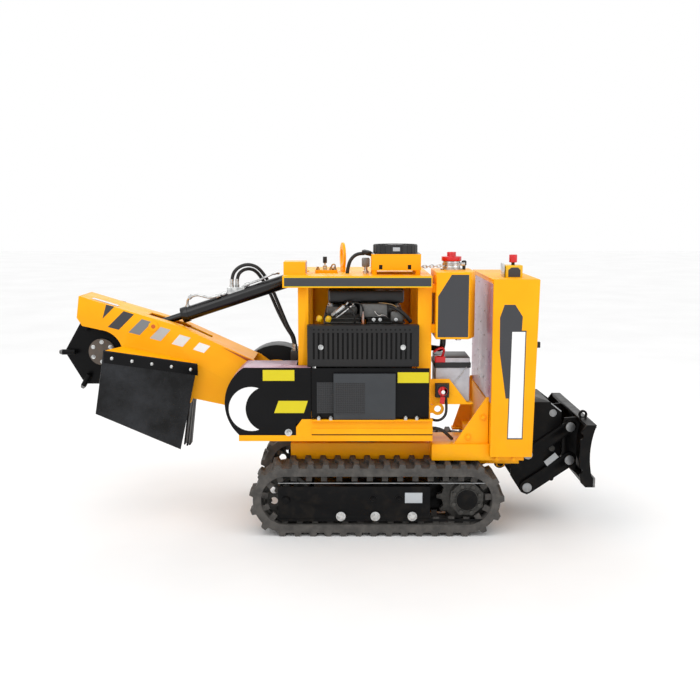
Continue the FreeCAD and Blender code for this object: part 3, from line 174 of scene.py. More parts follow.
def powder_coat(name, colour, shade, rough, dusty=0.0, coat=0.25, peel_mm=2.4, shine=0.5):
    """Polyester powder coat on steel plate: an even skin with a faint orange peel, a little deeper where it
    pooled, and soft dust low down."""
    made, tree, surface, place = start_material(name, Coat_Weight=coat, Coat_Roughness=0.12, IOR=1.5,
                                                Specular_IOR_Level=shine)
    cloud = ramp(tree, noise(tree, place, 260), 0.35, 0.68)
    paint = mixed(tree, cloud, linear(colour), linear(shade))
    height = node(tree, "SeparateXYZ", {0: place}).outputs["Z"]
    low = ramp(tree, height, 0.75, 0.25)
    patch = ramp(tree, noise(tree, place, 45, 5.0), 0.48, 0.72)
    soiled = node(tree, "Math", {0: low, 1: patch}, operation="MULTIPLY").outputs[0]
    soiled = node(tree, "Math", {0: soiled, 1: dusty}, operation="MULTIPLY").outputs[0]
    tree.links.new(mixed(tree, soiled, paint, linear("#7A6A56")), surface.inputs["Base Color"])
    sheen = ramp(tree, noise(tree, place, 70, 4.0), 0.3, 0.7, rough - 0.05, rough + 0.07)
    tree.links.new(sheen, surface.inputs["Roughness"])
    bumped(tree, surface, noise(tree, place, peel_mm, 1.0), 0.00006)
    return made


def vulcanised_rubber(name, colour, dust_and_highlight, rough, dusty, grain_mm=1.6, shine=0.35, cloud_mm=55):
    """Rubber pressed in a mould: matt with a fine grain and pale patches on it, worn dust on most rubber and
    a painted highlight on the flap.
    """
    made, tree, surface, place = start_material(name, IOR=1.52, Specular_IOR_Level=shine)
    patch = ramp(tree, noise(tree, place, cloud_mm, 6.0, 0.65), 0.38, 0.75, 0.0, dusty)
    tree.links.new(mixed(tree, patch, linear(colour), linear(dust_and_highlight)), surface.inputs["Base Color"])
    tree.links.new(ramp(tree, noise(tree, place, 30, 4.0), 0.3, 0.7, rough - 0.06, rough + 0.1),
                   surface.inputs["Roughness"])
    bumped(tree, surface, noise(tree, place, grain_mm, 4.0), 0.0002)
    return made


def plated_steel(name, colour, rough, lay_mm=0.9):
    """Zinc-plated or turned steel: bright, with a faint cloud and fine tool marks."""
    made, tree, surface, place = start_material(name, Metallic=1.0)
    cloud = ramp(tree, noise(tree, place, 22, 4.0), 0.3, 0.75)
    tree.links.new(mixed(tree, cloud, linear(colour), linear("#8B8D8E")), surface.inputs["Base Color"])
    tree.links.new(ramp(tree, noise(tree, place, 6, 3.0), 0.3, 0.7, rough - 0.06, rough + 0.1),
                   surface.inputs["Roughness"])
    bumped(tree, surface, noise(tree, place, lay_mm, 2.0), 0.00005)
    return made


def sand_casting(name, colour, rough=0.6):
    """Iron or aluminium from a sand mould: dull, with the sand's grain."""
    made, tree, surface, place = start_material(name, Metallic=0.35)
    tree.links.new(mixed(tree, noise(tree, place, 18, 6.0), linear(colour), linear("#56544F")),
                   surface.inputs["Base Color"])
    surface.inputs["Roughness"].default_value = rough
    bumped(tree, surface, noise(tree, place, 2.2, 4.0), 0.00035)
    return made


def moulded_plastic(name, colour, rough, coat=0.0, grain_mm=1.2):
    """Injection-moulded plastic: even in colour, with a fine spark-eroded grain."""
    made, tree, surface, place = start_material(name, IOR=1.49, Coat_Weight=coat, Coat_Roughness=0.08)
    deeper = tuple(0.82 * c for c in linear(colour)[:3]) + (1.0,)
    tree.links.new(mixed(tree, ramp(tree, noise(tree, place, 40), 0.3, 0.7), linear(colour), deeper),
                   surface.inputs["Base Color"])
    surface.inputs["Roughness"].default_value = rough
    bumped(tree, surface, noise(tree, place, grain_mm, 1.0), 0.00004)
    return made


def vinyl_film(name, colour, rough=0.34):
    """Cut adhesive film: flat colour with the paint's faint waviness telegraphed through it."""
    made, tree, surface, place = start_material(name, IOR=1.46)
    deeper = tuple(0.9 * c for c in linear(colour)[:3]) + (1.0,)
    tree.links.new(mixed(tree, noise(tree, place, 60), linear(colour), deeper), surface.inputs["Base Color"])
    surface.inputs["Roughness"].default_value = rough
    bumped(tree, surface, noise(tree, place, 3.0, 1.0), 0.00005)
    return made


def pierced_sheet(name, colour, pitch, hole, rough=0.45):
    """Grey powder coat on sheet that is pierced with rows of round holes, which show black: painted shade of
    the dark space behind them.
    """
    made, tree, surface, place = start_material(name, IOR=1.5)
    wrapped = node(tree, "VectorMath", {0: place, 1: (pitch, pitch, pitch), 2: (0, 0, 0)}, operation="WRAP")
    split = node(tree, "SeparateXYZ", {0: wrapped.outputs[0]})
    flat = node(tree, "CombineXYZ", {"X": split.outputs["X"], "Y": split.outputs["Z"]}).outputs[0]
    away = node(tree, "VectorMath", {0: flat, 1: (pitch / 2, pitch / 2, 0)},
                operation="DISTANCE").outputs["Value"]
    solid = ramp(tree, away, hole - 0.0004, hole + 0.0004)
    tree.links.new(mixed(tree, solid, linear("#050505"), linear(colour)), surface.inputs["Base Color"])
    surface.inputs["Roughness"].default_value = rough
    bumped(tree, surface, solid, 0.0012)
    return made


YELLOW = powder_coat("traffic_yellow_powder_coat", "#FFB200", "#FFA900", 0.40, dusty=0.08, coat=0.0,
                     shine=0.22)
BLACK = powder_coat("jet_black_powder_coat", "#070708", "#0C0C0D", 0.34, dusty=0.04, coat=0.0, shine=0.12)
SATIN_BLACK = powder_coat("satin_black_powder_coat", "#0A0A0B", "#101012", 0.34, coat=0.0, shine=0.14)
GREY = powder_coat("iron_grey_powder_coat", "#3A3C3F", "#424548", 0.44, coat=0.0, shine=0.2)
# Lilac coat: a painted reflection of the pale surroundings on glossy faces, not a paint colour of the
# machine.
PAINTED_REFLECTION_LILAC = powder_coat("pale_grey_powder_coat", "#B0879A", "#9C7990", 0.30, coat=0.1, shine=0.3)
HEAT_BLACK = powder_coat("heat_proof_black_paint", "#262627", "#2B2A2A", 0.46, coat=0.0, peel_mm=1.5,
                         shine=0.2)
RAM_BLACK = powder_coat("gloss_black_ram_paint", "#08080A", "#0D0D0F", 0.16, coat=0.0, shine=0.45)
TREAD = vulcanised_rubber("track_rubber", "#413F3D", "#6C6863", 0.74, 0.6)
# The flap's large pale cloud patches are a painted highlight, not dust.
FLAP = vulcanised_rubber("flap_rubber", "#040405", "#35373B", 0.27, 0.8, 2.5, 0.22, cloud_mm=190)
CURTAIN = vulcanised_rubber("curtain_rubber", "#0A0A0B", "#191A1C", 0.5, 0.4, shine=0.12)
HOSE = vulcanised_rubber("hose_rubber", "#1A1A1B", "#3A3A3A", 0.42, 0.5)
BELT = vulcanised_rubber("belt_rubber", "#1C1C1E", "#3A3A3A", 0.62, 0.5)
DULL_ZINC = plated_steel("dull_zinc_plate", "#A6A8AA", 0.42)
ZINC = plated_steel("zinc_plated_steel", "#E6E7E6", 0.27)
GROUND = plated_steel("ground_steel", "#AEB0B2", 0.3)
CHROME = plated_steel("hard_chromed_steel", "#E2E3E5", 0.12)
BRASS = plated_steel("turned_brass", "#C79A45", 0.3)
COPPER = plated_steel("drawn_copper", "#C8794C", 0.3)
WORN = plated_steel("worn_tool_steel", "#6C6A67", 0.45)
IRON = sand_casting("grey_cast_iron", "#1D1D1F")
ALLOY = sand_casting("cast_aluminium", "#77797A", 0.5)
RUSTY = sand_casting("browned_hub_iron", "#6B5A4E", 0.62)
BLACK_PLASTIC = moulded_plastic("black_polyamide", "#0F0F11", 0.40)
RED_PLASTIC = moulded_plastic("red_polyamide", "#D90A16", 0.3, 0.3)
YELLOW_PLASTIC = moulded_plastic("yellow_polycarbonate", "#F4C400", 0.35, 0.2)
PALE_PLASTIC = moulded_plastic("pale_polypropylene", "#C4C5CB", 0.38)
DARK_FILM = vinyl_film("charcoal_film", "#3B3C40")
MID_FILM = vinyl_film("mid_grey_film", "#7D8388")
PALE_FILM = vinyl_film("pale_grey_film", "#B6BBBF")
LIGHT_FILM = vinyl_film("light_grey_film", "#E3E5E6")
WHITE_FILM = vinyl_film("white_film", "#F7F7F6")
SILVER_FILM = vinyl_film("silver_film", "#C9CBD0", 0.22)
LABEL_FILM = vinyl_film("lemon_film", "#DCCB00")
# Flat black as painted shade, set in holes, slots and gaps where only shade is seen.
PAINTED_SHADE_BLACK = moulded_plastic("shadowed_hole", "#030303", 0.9)
PIERCED = pierced_sheet("pierced_grey_sheet", "#2C2D30", 0.0085, 0.0027)


# ---- mesh helpers ----

def alone(made):
    bpy.ops.object.select_all(action="DESELECT")
    made.select_set(True)
    bpy.context.view_layer.objects.active = made


def dressed(made, name, material, body):
    """Names a finished piece, gives it its material and lets it ride."""
    made.name = name
    made.data.materials.clear()
    made.data.materials.append(material)
    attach(made, body)
    return made


def smooth(made, angle=35):
    alone(made)
    bpy.ops.object.shade_smooth_by_angle(angle=math.radians(angle))


def block(name, low, high, material, body, edge=0.0015):
    """A box between two corners with its edges rounded."""
    bpy.ops.object.select_all(action="DESELECT")
    middle = [(a + b) / 2 for a, b in zip(low, high)]
    bpy.ops.mesh.primitive_cube_add(size=1, location=middle)
    made = bpy.context.object
    made.scale = [b - a for a, b in zip(low, high)]
    bpy.ops.object.transform_apply()
    bpy.ops.object.mode_set(mode="EDIT")
    bpy.ops.mesh.select_all(action="SELECT")
    bpy.ops.mesh.bevel(offset=edge, segments=2, affect="EDGES")
    bpy.ops.object.mode_set(mode="OBJECT")
    smooth(made)
    return dressed(made, name, material, body)


def plate(name, outline, y0, y1, material, body, edge=0.0):
    """A flat piece of an outline in X and Z, between two values of Y."""
    bpy.ops.object.select_all(action="DESELECT")
    bpy.ops.mesh.primitive_circle_add(vertices=len(outline), fill_type="NGON")
    made = bpy.context.object
    for corner, (x, z) in zip(made.data.vertices, outline):
        corner.co = (x, y0, z)
    bpy.ops.object.mode_set(mode="EDIT")
    bpy.ops.mesh.select_all(action="SELECT")
    bpy.ops.mesh.extrude_region_move(TRANSFORM_OT_translate={"value": (0, y1 - y0, 0)})
    bpy.ops.mesh.select_all(action="SELECT")
    bpy.ops.mesh.normals_make_consistent(inside=False)
    if edge:
        bpy.ops.mesh.bevel(offset=edge, segments=2, affect="EDGES")
    bpy.ops.object.mode_set(mode="OBJECT")
    smooth(made)
    return dressed(made, name, material, body)


def pipe(name, points, half, material, body):
    """A bent pipe or cable along the points, as a mesh."""
    made = smooth_line(name, points, half)
    alone(made)
    bpy.ops.object.convert(target="MESH")
    made = bpy.context.object
    smooth(made, 50)
    return dressed(made, name, material, body)


def turned(name, at, toward, profile, material, body, sides=40):
    """A turned piece: a profile of (radius, height) pairs spun about the line from at toward a direction."""
    bpy.ops.object.select_all(action="DESELECT")
    bpy.ops.mesh.primitive_circle_add(vertices=sides, radius=profile[0][0], fill_type="NGON")
    made = bpy.context.object
    bpy.ops.object.mode_set(mode="EDIT")
    bpy.ops.mesh.select_all(action="SELECT")
    radius, height = profile[0]
    for wider, higher in profile[1:]:
        bpy.ops.mesh.extrude_region_move(TRANSFORM_OT_translate={"value": (0, 0, higher - height)})
        scale = wider / radius
        bpy.ops.transform.resize(value=(scale, scale, 1), center_override=(0, 0, higher - profile[0][1]))
        radius, height = wider, higher
    bpy.ops.mesh.select_all(action="SELECT")
    bpy.ops.mesh.normals_make_consistent(inside=False)
    bpy.ops.object.mode_set(mode="OBJECT")
    turn = Vector((0, 0, 1)).rotation_difference(Vector(toward)).to_matrix().to_4x4()
    made.data.transform(Matrix.Translation(at) @ turn @ Matrix.Translation((0, 0, profile[0][1])))
    smooth(made, 40)
    return dressed(made, name, material, body)


def rounded(name, width, *zones, angle=28):
    """A copy of a CAD node with its edges rounded. Each zone is a material and a test of a face's middle and
    normal; a face takes the last zone whose test it passes."""
    source = NODES[name]
    made = bpy.data.objects.new(name + "_finished", source.data.copy())
    bpy.context.scene.collection.objects.link(made)
    alone(made)
    bpy.ops.object.mode_set(mode="EDIT")
    bpy.ops.mesh.select_all(action="SELECT")
    bpy.ops.mesh.remove_doubles(threshold=0.00001)
    bpy.ops.mesh.dissolve_limited(angle_limit=math.radians(1))
    bpy.ops.object.mode_set(mode="OBJECT")
    if width:
        soft = made.modifiers.new("edges", "BEVEL")
        soft.width = width
        soft.segments = 2
        soft.limit_method = "ANGLE"
        soft.angle_limit = math.radians(angle)
        bpy.ops.object.modifier_apply(modifier="edges")
    smooth(made, 32)
    made.data.materials.clear()
    for material, _ in zones:
        made.data.materials.append(material)
    for face in made.data.polygons:
        for number, (_, test) in enumerate(zones):
            if test(face.center, face.normal):
                face.material_index = number
    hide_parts(name)
    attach(made, BODY_OF[name])
    return made


def everywhere(centre, normal):
    return True


def place_copies(name, model, places, material, body):
    """Copies of a model, each at its place, turned from +Z to its direction, joined into one piece."""
    copies = []
    for at, toward in places:
        twin = model.copy()
        twin.data = model.data.copy()
        bpy.context.scene.collection.objects.link(twin)
        turn = Vector((0, 0, 1)).rotation_difference(Vector(toward)).to_matrix().to_4x4()
        twin.data.transform(Matrix.Translation(at) @ turn)
        copies.append(twin)
    bpy.ops.object.select_all(action="DESELECT")
    for twin in copies:
        twin.select_set(True)
    bpy.context.view_layer.objects.active = copies[0]
    if len(copies) > 1:
        bpy.ops.object.join()
    return dressed(copies[0], name, material, body)


def hex_bolt(across):
    """A hexagon bolt head on its washer, at the origin, pointing along +Z."""
    bpy.ops.object.select_all(action="DESELECT")
    bpy.ops.mesh.primitive_cylinder_add(vertices=24, radius=across * 0.95, depth=across * 0.16,
                                        location=(0, 0, across * 0.08))
    washer = bpy.context.object
    bpy.ops.mesh.primitive_cylinder_add(vertices=6, radius=across * 0.577, depth=across * 0.62,
                                        location=(0, 0, across * 0.46))
    head = bpy.context.object
    bpy.ops.object.mode_set(mode="EDIT")
    bpy.ops.mesh.select_all(action="SELECT")
    bpy.ops.mesh.bevel(offset=across * 0.06, segments=2, affect="EDGES")
    bpy.ops.object.mode_set(mode="OBJECT")
    washer.select_set(True)
    bpy.context.view_layer.objects.active = head
    bpy.ops.object.join()
    bpy.ops.object.transform_apply()
    smooth(head, 30)
    return head


def dome_bolt(radius):
    """A cup head, at the origin, pointing along +Z."""
    bpy.ops.object.select_all(action="DESELECT")
    bpy.ops.mesh.primitive_uv_sphere_add(segments=20, ring_count=12, radius=radius, scale=(1, 1, 0.62))
    head = bpy.context.object
    bpy.ops.object.mode_set(mode="EDIT")
    bpy.ops.mesh.select_all(action="SELECT")
    bpy.ops.mesh.bisect(plane_co=(0, 0, 0.0002), plane_no=(0, 0, 1), clear_inner=True, use_fill=True)
    bpy.ops.object.mode_set(mode="OBJECT")
    bpy.ops.object.transform_apply()
    smooth(head, 50)
    return head


BOLT_11 = hex_bolt(0.011)
BOLT_13 = hex_bolt(0.013)
BOLT_18 = hex_bolt(0.018)
BOLT_24 = hex_bolt(0.024)
DOME_9 = dome_bolt(0.009)
DOME_4 = dome_bolt(0.004)
MODELS = [BOLT_11, BOLT_13, BOLT_18, BOLT_24, DOME_9, DOME_4]
NEAR = (0, -1, 0)
UP = (0, 0, 1)


def finish_hoses():
    for line, points, cad in (("lift_hose_outer", FRONT_HOSE, "lift_hose_front"),
                              ("lift_hose_inner", BACK_HOSE, "lift_hose_back")):
        hose = smooth_line(line, points, HOSE_WIDE / 2)
        bare = hose.copy()
        bare.data = hose.data.copy()
        bare.data.bevel_depth = 0
        bpy.context.scene.collection.objects.link(bare)
        run = bpy.data.meshes.new_from_object(bare)
        bpy.data.objects.remove(bare)
        alone(hose)
        bpy.ops.object.convert(target="MESH")
        hose = bpy.context.object
        smooth(hose, 50)
        hose.data.materials.clear()
        hose.data.materials.append(HOSE)
        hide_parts(cad)
        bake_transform(hose)
        tag = "outer" if cad.endswith("front") else "inner"
        x, y, z = points[0]
        turned(f"hose_ferrule_{tag}", (x, y, z), UP, [(0.0115, 0), (0.0115, 0.012), (0.0095, 0.013),
                                                      (0.0095, 0.04)], ZINC, "lift_barrel")
        x, y, z = points[-1]
        turned(f"hose_foot_{tag}", (x, y, z), UP, [(0.0115, 0), (0.0115, 0.012), (0.0095, 0.013),
                                                   (0.0095, 0.035)], ZINC, "superstructure")


finish_hoses()


# ---- tracks ----

AXLE_END = 0.3946    # height of the face that the axle caps sit on, from the middle


def finish_tracks():
    for side, sign in (("left", -1), ("right", 1)):
        rounded("rubber_track_" + side, 0.0, (TREAD, everywhere))
        rounded("track_frame_" + side, 0.0012, (BLACK, everywhere))
        rounded("idler_" + side, 0.001, (IRON, everywhere))
        rounded("drive_sprocket_" + side, 0.001, (IRON, everywhere))
        low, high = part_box("track_frame_" + side)
        face = low.y if sign < 0 else high.y
        out = (0, sign, 0)

        def skin(depth):
            return sorted((face, face + sign * depth))

        y0, y1 = skin(0.0015)
        block(f"frame_edge_{side}", (low.x, y0, high.z - 0.003), (high.x, y1, high.z + 0.001), GROUND,
              "chassis", 0.0004)
        block(f"frame_lip_{side}", (low.x, skin(0.004)[0], low.z), (high.x, skin(0.004)[1], low.z + 0.012),
              BLACK, "chassis", 0.001)
        block(f"serial_plate_{side}", (0.403, skin(0.0012)[0], 0.162), (0.485, skin(0.0012)[1], 0.212),
              PALE_FILM, "chassis", 0.0004)
        places = [((x, face, 0.182), out) for x in (0.252, 0.374)]
        place_copies(f"frame_bolts_{side}", BOLT_18, places, BLACK, "chassis")
        end = AXLE_END * sign
        for i, x in enumerate(ROLLER_XS):
            turned(f"axle_cap_{side}_{i}", (x, end, AXLE_Z), out,
                   [(0.0225, -0.004), (0.0225, 0.0005), (0.0200, 0.0012), (0.0150, 0.0013), (0.0140, 0.0024),
                    (0.0060, 0.0026)], ZINC, "chassis")
        ring = []
        for i in range(8):
            a = math.radians(45 * i + 20)
            ring.append(((SPROCKET_X + 0.066 * math.cos(a), sign * 0.367,
                          SPROCKET_Z + 0.066 * math.sin(a)), out))
        place_copies(f"sprocket_bolts_{side}", BOLT_18, ring, IRON, f"drive_sprocket_{side}")
        turned(f"sprocket_cap_{side}", (SPROCKET_X, sign * 0.381, SPROCKET_Z), out,
               [(0.05, 0), (0.05, 0.001), (0.04, 0.004), (0.018, 0.005), (0.012, 0.0055)], BLACK,
               f"drive_sprocket_{side}")
        for i in (1, 2, 3):
            rounded(f"track_roller_{side}_{i}", 0.001, (IRON, everywhere))
    rounded("track_axles", 0.0008, (BLACK, everywhere))
    rounded("drive_motors", 0.001, (BLACK, everywhere))


# ---- chassis, cabinet and blade ----

def finish_chassis():
    rounded("chassis_frame", 0.0015, (YELLOW, everywhere), (WORN, lambda c,
                                                            n: math.hypot(c.x - 0.205,
                                                                          c.y) < 0.195 and c.z > 0.4085))
    rounded("control_cabinet", 0.003, (YELLOW, everywhere))
    # The cabinet's inner panel wears the lilac painted reflection.
    rounded("cabinet_panel", 0.001, (PAINTED_REFLECTION_LILAC, everywhere))
    low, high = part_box("control_cabinet")
    screws = []
    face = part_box("cabinet_panel")[0].x
    for y in (-0.33, -0.11, 0.11, 0.33):
        for z in (0.720, 0.820, 0.927, 1.046, 1.173):
            screws.append(((face - 0.0005, y, z), (-1, 0, 0)))
    for y, z in ((-0.24, 1.089), (0.02, 0.98), (-0.2, 0.870), (0.05, 0.69), (0.24, 0.773), (-0.24, 0.729)):
        screws.append(((face - 0.0005, y, z), (-1, 0, 0)))
    place_copies("panel_screws", DOME_4, screws, ZINC, "chassis")
    near = low.y
    stripe = [(0.871, 0.66), (0.926, 0.66), (0.941, 1.045), (0.905, 1.10), (0.856, 1.10), (0.836, 1.04),
              (0.838, 0.88)]
    plate("cabinet_stripe", stripe, near - 0.0004, near + 0.0002, DARK_FILM, "chassis")
    bar = [(0.886, 0.47), (0.951, 0.47), (0.955, 0.974), (0.894, 0.974)]
    plate("cabinet_band_edge", [(0.882, 0.464), (0.955, 0.464), (0.960, 0.980), (0.890, 0.980)],
          near - 0.0007, near + 0.0002, DARK_FILM, "chassis")
    plate("cabinet_band", bar, near - 0.0010, near + 0.0002, WHITE_FILM, "chassis")
    block("door_latch", (1.012, -0.352, 0.898), (1.028, -0.33, 0.925), BLACK_PLASTIC, "chassis", 0.002)
    block("cabinet_lid_lip", (low.x - 0.004, -0.352, high.z - 0.003), (high.x - 0.002, 0.352, high.z + 0.002),
          YELLOW, "chassis", 0.001)
    rounded("stop_button_box", 0.003, (YELLOW_PLASTIC, everywhere))
    plate("stop_front_label", [(0.889, 1.219), (0.946, 1.219), (0.946, 1.252), (0.934, 1.264), (0.903, 1.264),
                               (0.889, 1.252)], -0.2410, -0.2396, DARK_FILM, "chassis")
    rounded("stop_button", 0.003, (RED_PLASTIC, everywhere), (BLACK_PLASTIC, lambda c, n: c.z < 1.286))
    block("stop_bracket", (0.866, -0.245, 1.214), (0.870, -0.155, 1.282), ZINC, "chassis", 0.0008)
    place_copies("base_bolts", BOLT_18, [((x, -0.33, 0.366), NEAR) for x in (0.84, 0.92)], YELLOW, "chassis")
    foot = [((0.705, -0.306, 0.465), NEAR), ((0.775, -0.306, 0.560), NEAR)]
    place_copies("gusset_bolts", BOLT_18, foot, YELLOW, "chassis")
    rounded("blade_mount", 0.002, (BLACK, everywhere))
    rounded("blade_lower_link", 0.0015, (BLACK, everywhere), (DULL_ZINC, is_pin_head))
    rounded("blade_upper_link", 0.0015, (BLACK, everywhere), (DULL_ZINC, is_pin_head))
    rounded("dozer_blade", 0.002, (BLACK, everywhere), (WORN, lambda c, n: c.z < 0.30 and c.x > 1.285))
    rounded("blade_cylinder_barrel", 0.001, (BLACK, everywhere))
    rounded("blade_cylinder_rod", 0.0008, (CHROME, everywhere))
    for side, s in (("near", -1), ("far", 1)):
        for height, radius, z in (("high", 0.018, 0.550), ("low", 0.0145, 0.372)):
            turned(f"tower_bolt_{height}_{side}", (1.136, s * TOWER_FACE, z), (0, s, 0),
                   [(radius, -0.001), (radius, 0.001), (radius * 0.7, 0.0014), (radius * 0.66, 0.0032),
                    (radius * 0.3, 0.0033)], DULL_ZINC if height == "high" else IRON, "chassis")
        pipe(f"tower_edge_line_{side}", [(1.124, s * 0.1735, 0.598), (1.150, s * 0.1735, 0.578),
                                         (1.175, s * 0.1735, 0.558)], 0.0028, GROUND, "chassis")
    label = [(1.095, 0.310), (1.112, 0.287), (1.168, 0.333), (1.148, 0.355)]
    plate("link_label", label, -0.1885, -0.1878, PALE_FILM, "blade_lower_link")


def is_pin_head(centre, normal):
    """The turned heads stand outside the faces of the blade's links."""
    return abs(centre.y) > LINK_FACE


# ---- superstructure ----

def finish_deck():
    rounded("engine_deck", 0.0015, (YELLOW, everywhere))
    rail = [(-0.002, 0.5635), (0.054, 0.5635), (0.403, 0.5635), (0.455, 0.5635)]
    block("guard_gap_cover", (-0.113, -0.3665, 0.540), (-0.084, -0.3645, 0.578), SATIN_BLACK,
          "superstructure", 0.0005)
    block("rail_flange", (-0.036, -0.3920, 0.5575), (0.5305, -0.3660, 0.5635), YELLOW, "superstructure",
          0.001)
    places = [((x, -0.3805, z), UP) for x, z in rail]
    for i, (at, way) in enumerate(places):
        turned(f"rail_nut_{i}", at, way, [(0.0115, 0), (0.0115, 0.002), (0.0098, 0.0024), (0.0098, 0.013),
               (0.0060, 0.0155), (0.0055, 0.018)], ZINC, "superstructure")
    block("deck_lip", (-0.036, -0.3745, 0.492), (0.5305, -0.3690, 0.520), YELLOW, "superstructure", 0.0012)
    block("deck_shadow_gap", (-0.036, -0.3712, 0.4865), (0.5305, -0.3690, 0.4918), PAINTED_SHADE_BLACK,
          "superstructure", 0.0003)
    place_copies("guard_bolt", BOLT_18, [((-0.145, -0.37, 0.500), NEAR)], ZINC, "superstructure")
    rounded("engine_frame", 0.0025, (YELLOW, everywhere))
    for side, y0, y1 in (("near", -0.3508, -0.3495), ("far", 0.3495, 0.3508)):
        block(f"beam_film_edge_{side}", (-0.161, y0, 1.1815), (0.519, y1, 1.2255), LABEL_FILM,
              "superstructure", 0.0003)
        middle = -0.0003 if side == "near" else 0.0
        block(f"beam_film_{side}", (-0.160, y0 + middle, 1.184), (0.518, y1 + 0.0003 + middle, 1.223),
              DARK_FILM, "superstructure", 0.0003)
    # A thin film of lilac painted reflection on the end of the bracket box.
    block("bracket_box_end", (-0.0662, -0.236, 1.236), (-0.0645, -0.104, 1.287), PAINTED_REFLECTION_LILAC, "superstructure",
          0.0006)


def finish_covers():
    # The belt guard's upward top facet takes the lilac painted reflection.
    rounded("belt_guard", 0.002, (SATIN_BLACK, everywhere), (PAINTED_REFLECTION_LILAC, lambda c, n: n.z > 0.55 and n.x < 0.2
                                                             and c.z > 0.74 and c.y < -0.17 and c.z < 0.815))
    rounded("side_panel", 0.001, (SATIN_BLACK, everywhere))
    rounded("fan_cover", 0.003, (GREY, everywhere))
    plate("fan_cover_grille", [(0.072, 0.592), (0.214, 0.592), (0.214, 0.739), (0.072, 0.739)], -0.3888,
          -0.3875, PIERCED, "superstructure")
    plate("side_panel_grille", [(-0.011, 0.592), (0.066, 0.592), (0.066, 0.739), (-0.011, 0.739)], -0.3708,
          -0.3697, PIERCED, "superstructure")
    rounded("muffler_guard", 0.0015, (HEAT_BLACK, everywhere))
    rounded("exhaust_muffler", 0.002, (IRON, everywhere))
    # The guard's vent holes are black discs of painted shade.
    holes = []
    for i in range(21):
        holes.append(((-0.024 + 0.0222 * i, -0.3600, 0.984), NEAR))
    place_copies("guard_vents", vent_disc(), holes, PAINTED_SHADE_BLACK, "superstructure")
    # A black sheet of painted shade behind the vents, where the bay is dark.
    plate("guard_backing", [(-0.040, 0.822), (0.450, 0.822), (0.450, 0.996), (-0.040, 0.996)], -0.3545,
          -0.3535, PAINTED_SHADE_BLACK, "superstructure")
    place_copies("guard_screws", BOLT_13, [((x, -0.360, 0.902), NEAR) for x in (0.008, 0.390)], ZINC,
                 "superstructure")
    corner = [((x, -0.360, z), NEAR) for x in (-0.035, 0.445) for z in (0.826, 0.990)]
    place_copies("guard_rivets", DOME_4, corner, HEAT_BLACK, "superstructure")
    crescent = []
    for i in range(25):
        a = math.radians(70 + 220 * i / 24)
        crescent.append((-0.318 + 0.105 * math.cos(a), 0.612 + 0.105 * math.sin(a)))
    tip = math.degrees(math.atan2(0.0987, -0.047))
    for i in range(1, 24):
        a = math.radians(360 - tip - (360 - 2 * tip) * i / 24)
        crescent.append((-0.235 + 0.1093 * math.cos(a), 0.612 + 0.1093 * math.sin(a)))
    plate("guard_crescent", crescent, *COVER_FACE, WHITE_FILM, "superstructure")
    for name, outline in (("guard_label_top", [(-0.262, 0.746), (-0.115, 0.746), (-0.115, 0.797),
                                               (-0.262, 0.797)]), ("guard_label_side",
                                                                   [(-0.211, 0.593), (-0.072, 0.593),
                                                                    (-0.053, 0.651), (-0.190, 0.651)]),
                          ("panel_label", [(0.365, 0.736), (0.510, 0.736), (0.510, 0.786), (0.365, 0.786)])):
        plate(name, outline, *COVER_FACE, LABEL_FILM, "superstructure")
    arch = []
    for i in range(19):
        a = math.radians(180 - 10 * i)
        arch.append((-0.236 + 0.2 * math.cos(a), 0.638 + 0.2 * math.sin(a)))
    arch += [(-0.036, 0.488), (-0.110, 0.488), (-0.110, 0.560), (-0.362, 0.560), (-0.362, 0.488),
             (-0.436, 0.488)]
    plate("far_bearing_guard", arch, 0.162, 0.31, SATIN_BLACK, "superstructure", 0.003)


def vent_disc():
    bpy.ops.object.select_all(action="DESELECT")
    bpy.ops.mesh.primitive_cylinder_add(vertices=12, radius=0.0045, depth=0.0004)
    made = bpy.context.object
    MODELS.append(made)
    return made


